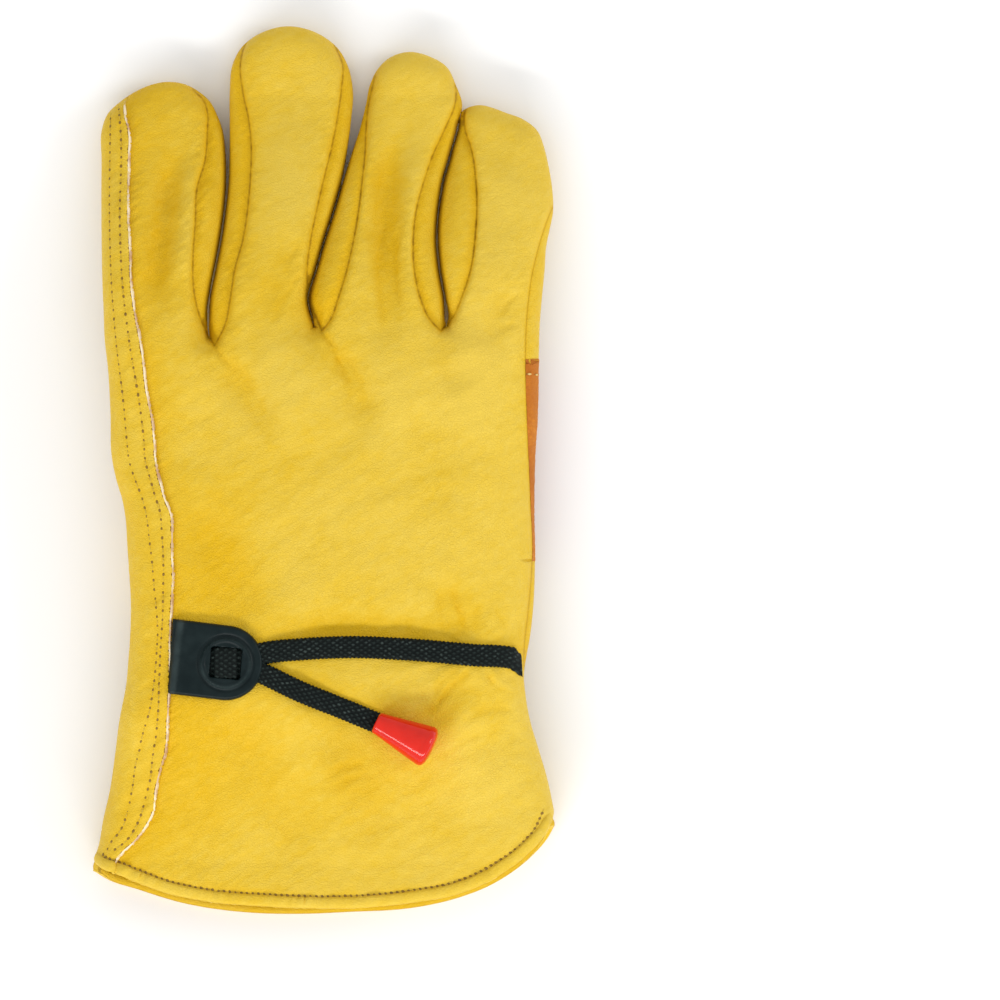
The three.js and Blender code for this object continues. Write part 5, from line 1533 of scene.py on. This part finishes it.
def stitch_tree():
    """Geometry nodes that lay stitches and their needle holes along a line on the leather."""
    name = "Stitch row"
    tree = bpy.data.node_groups.get(name)
    if tree:
        return tree
    tree = bpy.data.node_groups.new(name, "GeometryNodeTree")
    sockets = [("Line", "NodeSocketGeometry", None), ("Pitch", "NodeSocketFloat", 0.0024),
               ("Stitch length", "NodeSocketFloat", 0.0015), ("Stitch width", "NodeSocketFloat", 0.0005),
               ("Hole size", "NodeSocketFloat", 0.0007), ("Hole turn", "NodeSocketFloat", 0.0),
               ("Seed", "NodeSocketInt", 3),
               ("Thread", "NodeSocketMaterial", None), ("Hole", "NodeSocketMaterial", None)]
    for socket, kind, value in sockets:
        made = tree.interface.new_socket(socket, in_out="INPUT", socket_type=kind)
        if value is not None:
            made.default_value = value
    tree.interface.new_socket("Stitches", in_out="OUTPUT", socket_type="NodeSocketGeometry")
    nodes = Nodes(tree)
    start, end = tree.nodes.new("NodeGroupInput"), tree.nodes.new("NodeGroupOutput")
    inputs = start.outputs
    curve = nodes.add("GeometryNodeMeshToCurve", {0: inputs["Line"]}).outputs[0]
    even = nodes.add("GeometryNodeResampleCurve", {"Curve": curve, "Length": inputs["Pitch"]}, mode="LENGTH").outputs[0]
    tangent = nodes.add("GeometryNodeInputTangent").outputs[0]
    lean = nodes.add("GeometryNodeInputNamedAttribute", {"Name": "lean"}, data_type="FLOAT_VECTOR").outputs[0]
    upright = nodes.add("FunctionNodeAlignRotationToVector", {"Vector": lean}, axis="Z").outputs[0]
    aligned = nodes.add("FunctionNodeAlignRotationToVector", {"Rotation": upright, "Vector": tangent},
                        axis="X", pivot_axis="Z").outputs[0]
    jitter = nodes.add("FunctionNodeRandomValue", {"Seed": inputs["Seed"]}, data_type="FLOAT")
    jitter.inputs[2].default_value, jitter.inputs[3].default_value = 0.82, 1.15

    def shaped(length, width, flat, segments, rings):
        ball = nodes.add("GeometryNodeMeshUVSphere", {"Segments": segments, "Rings": rings, "Radius": 0.5})
        size = nodes.add("ShaderNodeCombineXYZ", {0: length, 1: width, 2: nodes.math("MULTIPLY", width, flat)})
        return nodes.add("GeometryNodeTransform", {"Geometry": ball.outputs[0], "Scale": size.outputs[0]}).outputs[0]

    half = nodes.math("MULTIPLY", inputs["Pitch"], 0.5)
    beside = nodes.add("ShaderNodeCombineXYZ", {0: half}).outputs[0]
    turn = nodes.add("ShaderNodeCombineXYZ", {2: inputs["Hole turn"]}).outputs[0]
    stitch = shaped(inputs["Stitch length"], inputs["Stitch width"], 0.7, 8, 6)
    stitch = nodes.add("GeometryNodeTransform", {"Geometry": stitch, "Translation": beside}).outputs[0]
    # Each needle hole is a flat dark mark, painted shade of the hole.
    hole = shaped(inputs["Hole size"], nodes.math("MULTIPLY", inputs["Hole size"], 0.72), 0.35, 8, 5)
    hole = nodes.add("GeometryNodeTransform", {"Geometry": hole, "Rotation": turn}).outputs[0]
    hole = nodes.add("GeometryNodeStoreNamedAttribute", {"Geometry": hole, "Name": "needle_hole", "Value": True},
                     data_type="BOOLEAN", domain="FACE").outputs[0]
    joined = tree.nodes.new("GeometryNodeJoinGeometry")
    for shape in (hole, stitch):
        smooth = nodes.add("GeometryNodeSetShadeSmooth", {0: shape}).outputs[0]
        laid = nodes.add("GeometryNodeInstanceOnPoints", {
            "Points": even, "Instance": smooth, "Rotation": aligned, "Scale": jitter.outputs["Value"]}).outputs[0]
        tree.links.new(laid, joined.inputs[0])
    real = nodes.add("GeometryNodeRealizeInstances", {0: joined.outputs[0]}).outputs[0]
    of_hole = nodes.add("GeometryNodeInputNamedAttribute", {"Name": "needle_hole"}, data_type="BOOLEAN").outputs[0]
    threads = nodes.add("GeometryNodeSetMaterial", {"Geometry": real, "Material": inputs["Thread"]}).outputs[0]
    dressed = nodes.add("GeometryNodeSetMaterial", {"Geometry": threads, "Selection": of_hole,
                                                    "Material": inputs["Hole"]}).outputs[0]
    tree.links.new(dressed, end.inputs[0])
    return tree


def stitch_row(name, points, normal, lift, thread, hole, **sizes):
    """One row of stitches along points on the leather."""
    mesh = bpy.data.meshes.new(name)
    place = (points + normal * lift) * MM
    mesh.from_pydata(place.tolist(), [(i, i + 1) for i in range(len(place) - 1)], [])
    mesh.attributes.new("lean", "FLOAT_VECTOR", "POINT").data.foreach_set("vector", normal.ravel().astype(np.float32))
    obj = bpy.data.objects.new(name, mesh)
    bpy.context.scene.collection.objects.link(obj)
    modifier = obj.modifiers.new("Stitches", "NODES")
    tree = stitch_tree()
    modifier.node_group = tree
    values = {"Thread": thread, "Hole": hole, **sizes}
    for item in tree.interface.items_tree:
        if item.in_out == "INPUT" and item.name in values:
            modifier[item.identifier] = values[item.name]
    depsgraph = bpy.context.evaluated_depsgraph_get()
    made = bpy.data.meshes.new_from_object(obj.evaluated_get(depsgraph), depsgraph=depsgraph)
    obj.modifiers.clear()
    old, obj.data = obj.data, made
    bpy.data.meshes.remove(old)
    made.name = name
    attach(obj, "root")
    return obj


def hem_row(edge, inset, keep):
    """A line beside the cuff's edge."""
    line = spline(edge, 0.6)
    beside = np.column_stack([-np.gradient(line[:, 1]), np.gradient(line[:, 0])])
    beside /= np.linalg.norm(beside, axis=1)[:, None]
    moved = line + beside * inset
    return trimmed(moved, keep)


class GLOVE_OT_stitching(bpy.types.Operator):
    """Rows of stitches along the index side, the hems and the patch"""
    bl_idname = "glove.stitching"
    bl_label = "Stitching"

    def execute(self, context):
        s = settings()
        yellow = thread_material("Yellow thread", tuple(s.thread))
        pale = thread_material("Pale thread", (0.85, 0.62, 0.2))
        # The needle holes are dark brown marks of painted shade where the hole sinks into the leather.
        hole = thread_material("Needle hole", (0.29, 0.155, 0.005))
        rows = (
            ("stitches_outer_row", spline(OUTER_ROW, 0.6), back_height, 1, yellow, s.stitch_pitch, 0.001, 0.0),
            ("stitches_inner_row", spline(INNER_ROW, 0.6), back_height, 1, yellow, s.stitch_pitch, 0.00105, 0.0),
            ("stitches_back_hem", hem_row(BACK_EDGE, 3.5, 2.0), back_height, 1, yellow, s.hem_pitch, 0.00115, 0.02),
            ("stitches_palm_hem", hem_row(PALM_EDGE, 3.5, 2.0), palm_height, -1, yellow, s.hem_pitch, 0.00115, 0.02),
        )
        for name, line, surface, up, thread, pitch, size, lift in rows:
            points, normal, _, _ = surface_frame(surface, line, 1)
            stitch_row(name, points, normal * up, lift, thread, hole, Pitch=pitch, Seed=SEED,
                       **{"Stitch length": pitch * 0.5, "Stitch width": 0.00034, "Hole size": size,
                          "Hole turn": -0.9 if "hem" in name else 0.0})
        patch_rows = (
            ("stitches_patch_top", [(-34.0, 28.2), (-14.0, 27.8), (-0.5, 27.6), (31.5, 28.2), (58.5, 27.4)]),
            ("stitches_patch_low", [(-35.2, 9.8), (-8.0, 1.5), (10.2, -3.9), (40.0, -14.8), (58.5, -21.6)]),
            ("stitches_patch_end", [(-35.0, 12.4), (-34.2, 25.8)]),
        )
        for name, line in patch_rows:
            points, normal, _, _ = surface_frame(palm_height, spline(line, 0.6), 1)
            inset = 1.2 - 1.1 * smoothstep(points[:, :1], 46, 56)
            points = points - normal * inset
            stitch_row(name, points, -normal, 0.2, pale, hole, Pitch=0.0026, Seed=SEED,
                       **{"Stitch length": 0.0017, "Stitch width": 0.0006, "Hole size": 0.0007})
        points, normal, _, _ = surface_frame(back_height, spline([(57.9, 27.6), (60.2, 27.5)], 0.4), 1)
        stitch_row("stitches_patch_side", points, normal, 0.25, pale, hole, Pitch=0.0017, Seed=SEED,
                   **{"Stitch length": 0.0013, "Stitch width": 0.0006, "Hole size": 0.0005})
        return {"FINISHED"}


# Stage

def area_light(name, place, target, size, power, rgb=(1, 1, 1)):
    data = bpy.data.lights.new(name, "AREA")
    data.shape = "RECTANGLE"
    data.size, data.size_y = size
    data.energy = power
    data.color = rgb
    light = bpy.data.objects.new(name, data)
    light.location = place
    light.rotation_euler = (Vector(target) - Vector(place)).to_track_quat("-Z", "Y").to_euler()
    bpy.context.scene.collection.objects.link(light)


class GLOVE_OT_studio(bpy.types.Operator):
    """Pale floor, soft lights and the camera above the glove"""
    bl_idname = "glove.studio"
    bl_label = "Studio"

    def execute(self, context):
        half, sunk = 3.0, -0.3 * MM
        mesh = bpy.data.meshes.new("studio_floor")
        mesh.from_pydata([(-half, -half, sunk), (half, -half, sunk), (half, half, sunk), (-half, half, sunk)], [], [(0, 1, 2, 3)])
        floor = bpy.data.objects.new("studio_floor", mesh)
        context.scene.collection.objects.link(floor)
        made, nodes, shader = new_material("Pale floor")
        place = nodes.add("ShaderNodeTexCoord").outputs["Object"]
        tint = nodes.add("ShaderNodeTexNoise", {"Vector": place, "Scale": 3.0}).outputs["Fac"]
        base = nodes.mix(tint, (0.93, 0.93, 0.93, 1), (0.95, 0.95, 0.95, 1))
        connect(nodes, shader, Base_Color=base, Roughness=0.9)
        mesh.materials.append(made)
        world = bpy.data.worlds.new("Soft studio")
        world.use_nodes = True
        world.node_tree.nodes["Background"].inputs["Color"].default_value = (1, 1, 1, 1)
        world.node_tree.nodes["Background"].inputs["Strength"].default_value = 0.8
        context.scene.world = world
        area_light("key_light", (-0.7, -2.6, 1.75), (0, 0, 0), (4.2, 0.5), 74)
        area_light("side_light", (1.3, 0.2, 0.8), (0, 0, 0), (0.6, 0.6), 6)
        context.scene.view_settings.view_transform = "Standard"
        x, y = place_on_photo(500, 500)
        camera_data = bpy.data.cameras.new("camera")
        camera = bpy.data.objects.new("camera", camera_data)
        far, level = 4.0, 15 * MM
        camera.location = (x * MM, y * MM, level + far)
        camera_data.sensor_width = 36
        camera_data.lens = 36 * far / (1000 * PALM_WIDTH / 430 * MM)
        camera_data.clip_start = 0.05
        camera_data.clip_end = 20
        context.scene.collection.objects.link(camera)
        context.scene.camera = camera
        return {"FINISHED"}


class GloveSettings(bpy.types.PropertyGroup):
    leather_thickness: FloatProperty(name="Leather thickness", description="Thickness of the hide",
                                     default=1.4 * MM, unit="LENGTH")
    grain_size: FloatProperty(name="Grain size", description="Width of one cell of the grain",
                              default=0.8 * MM, unit="LENGTH", precision=5)
    ripple_size: FloatProperty(name="Ripple size", description="Width of one fine ripple of the hide",
                               default=1.9 * MM, unit="LENGTH", precision=5)
    stitch_pitch: FloatProperty(name="Seam stitch pitch", description="Distance between stitches of the side seam",
                                default=2.6 * MM, unit="LENGTH", precision=5)
    hem_pitch: FloatProperty(name="Hem stitch pitch", description="Distance between stitches of the hem",
                             default=1.65 * MM, unit="LENGTH", precision=5)
    leather_light: FloatVectorProperty(name="Leather, light", description="Tone where the hide is palest",
                                       default=(0.735, 0.52, 0.062), subtype="COLOR")
    leather_mid: FloatVectorProperty(name="Leather", description="Main tone of the hide",
                                     default=(0.715, 0.475, 0.03), subtype="COLOR")
    # Deep tone of the hide, also used as painted shade in seams and creases.
    leather_deep: FloatVectorProperty(name="Leather, creases", description="Tone in seams and creases",
                                      default=(0.69, 0.415, 0.003), subtype="COLOR")
    seam_shadow: FloatVectorProperty(name="Leather, seam bottoms", description="Tone at the bottom of a seam",
                                     default=(0.2, 0.08, 0.001), subtype="COLOR")
    cut_edge: FloatVectorProperty(name="Cut edge", description="Tone of the leather's cut edge",
                                  default=(0.86, 0.72, 0.48), subtype="COLOR")
    suede: FloatVectorProperty(name="Suede", description="Tone of the palm patch", default=(0.62, 0.2, 0.005),
                               subtype="COLOR")
    suede_dark: FloatVectorProperty(name="Suede, dark", description="Tone of the patch against the nap",
                                    default=(0.45, 0.12, 0.003), subtype="COLOR")
    tab_colour: FloatVectorProperty(name="Tab", description="Colour of the closure tab",
                                    default=(0.003, 0.009, 0.01), subtype="COLOR")
    tape_colour: FloatVectorProperty(name="Strap", description="Colour of the woven strap",
                                     default=(0.005, 0.009, 0.008), subtype="COLOR")
    pull_colour: FloatVectorProperty(name="Pull", description="Colour of the strap's pull",
                                     default=(0.72, 0.016, 0.005), subtype="COLOR")
    thread: FloatVectorProperty(name="Thread", description="Colour of the seam thread",
                                default=(0.68, 0.45, 0.03), subtype="COLOR")


OPERATORS = (GLOVE_OT_studio, GLOVE_OT_back, GLOVE_OT_palm, GLOVE_OT_patch, GLOVE_OT_hems, GLOVE_OT_raw_edge,
             GLOVE_OT_welt, GLOVE_OT_thumb, GLOVE_OT_tab, GLOVE_OT_strap, GLOVE_OT_pull, GLOVE_OT_stitching)


class GLOVE_PT_panel(bpy.types.Panel):
    """Sizes and colours of the glove, and a button for each group of pieces"""
    bl_idname = "GLOVE_PT_panel"
    bl_label = "Leather Work Glove"
    bl_space_type = "VIEW_3D"
    bl_region_type = "UI"
    bl_category = "Glove"

    def draw(self, context):
        for name in GloveSettings.__annotations__:
            self.layout.prop(context.scene.glove_settings, name)
        for operator in OPERATORS:
            self.layout.operator(operator.bl_idname)


def register():
    for made in (GloveSettings, *OPERATORS, GLOVE_PT_panel):
        bpy.utils.register_class(made)
    bpy.types.Scene.glove_settings = PointerProperty(type=GloveSettings)


def unregister():
    del bpy.types.Scene.glove_settings
    for made in (GLOVE_PT_panel, *reversed(OPERATORS), GloveSettings):
        bpy.utils.unregister_class(made)


def main():
    register()
    for operator in OPERATORS:
        group_name, call = operator.bl_idname.split(".")
        getattr(getattr(bpy.ops, group_name), call)()


if __name__ == "__main__":
    main()
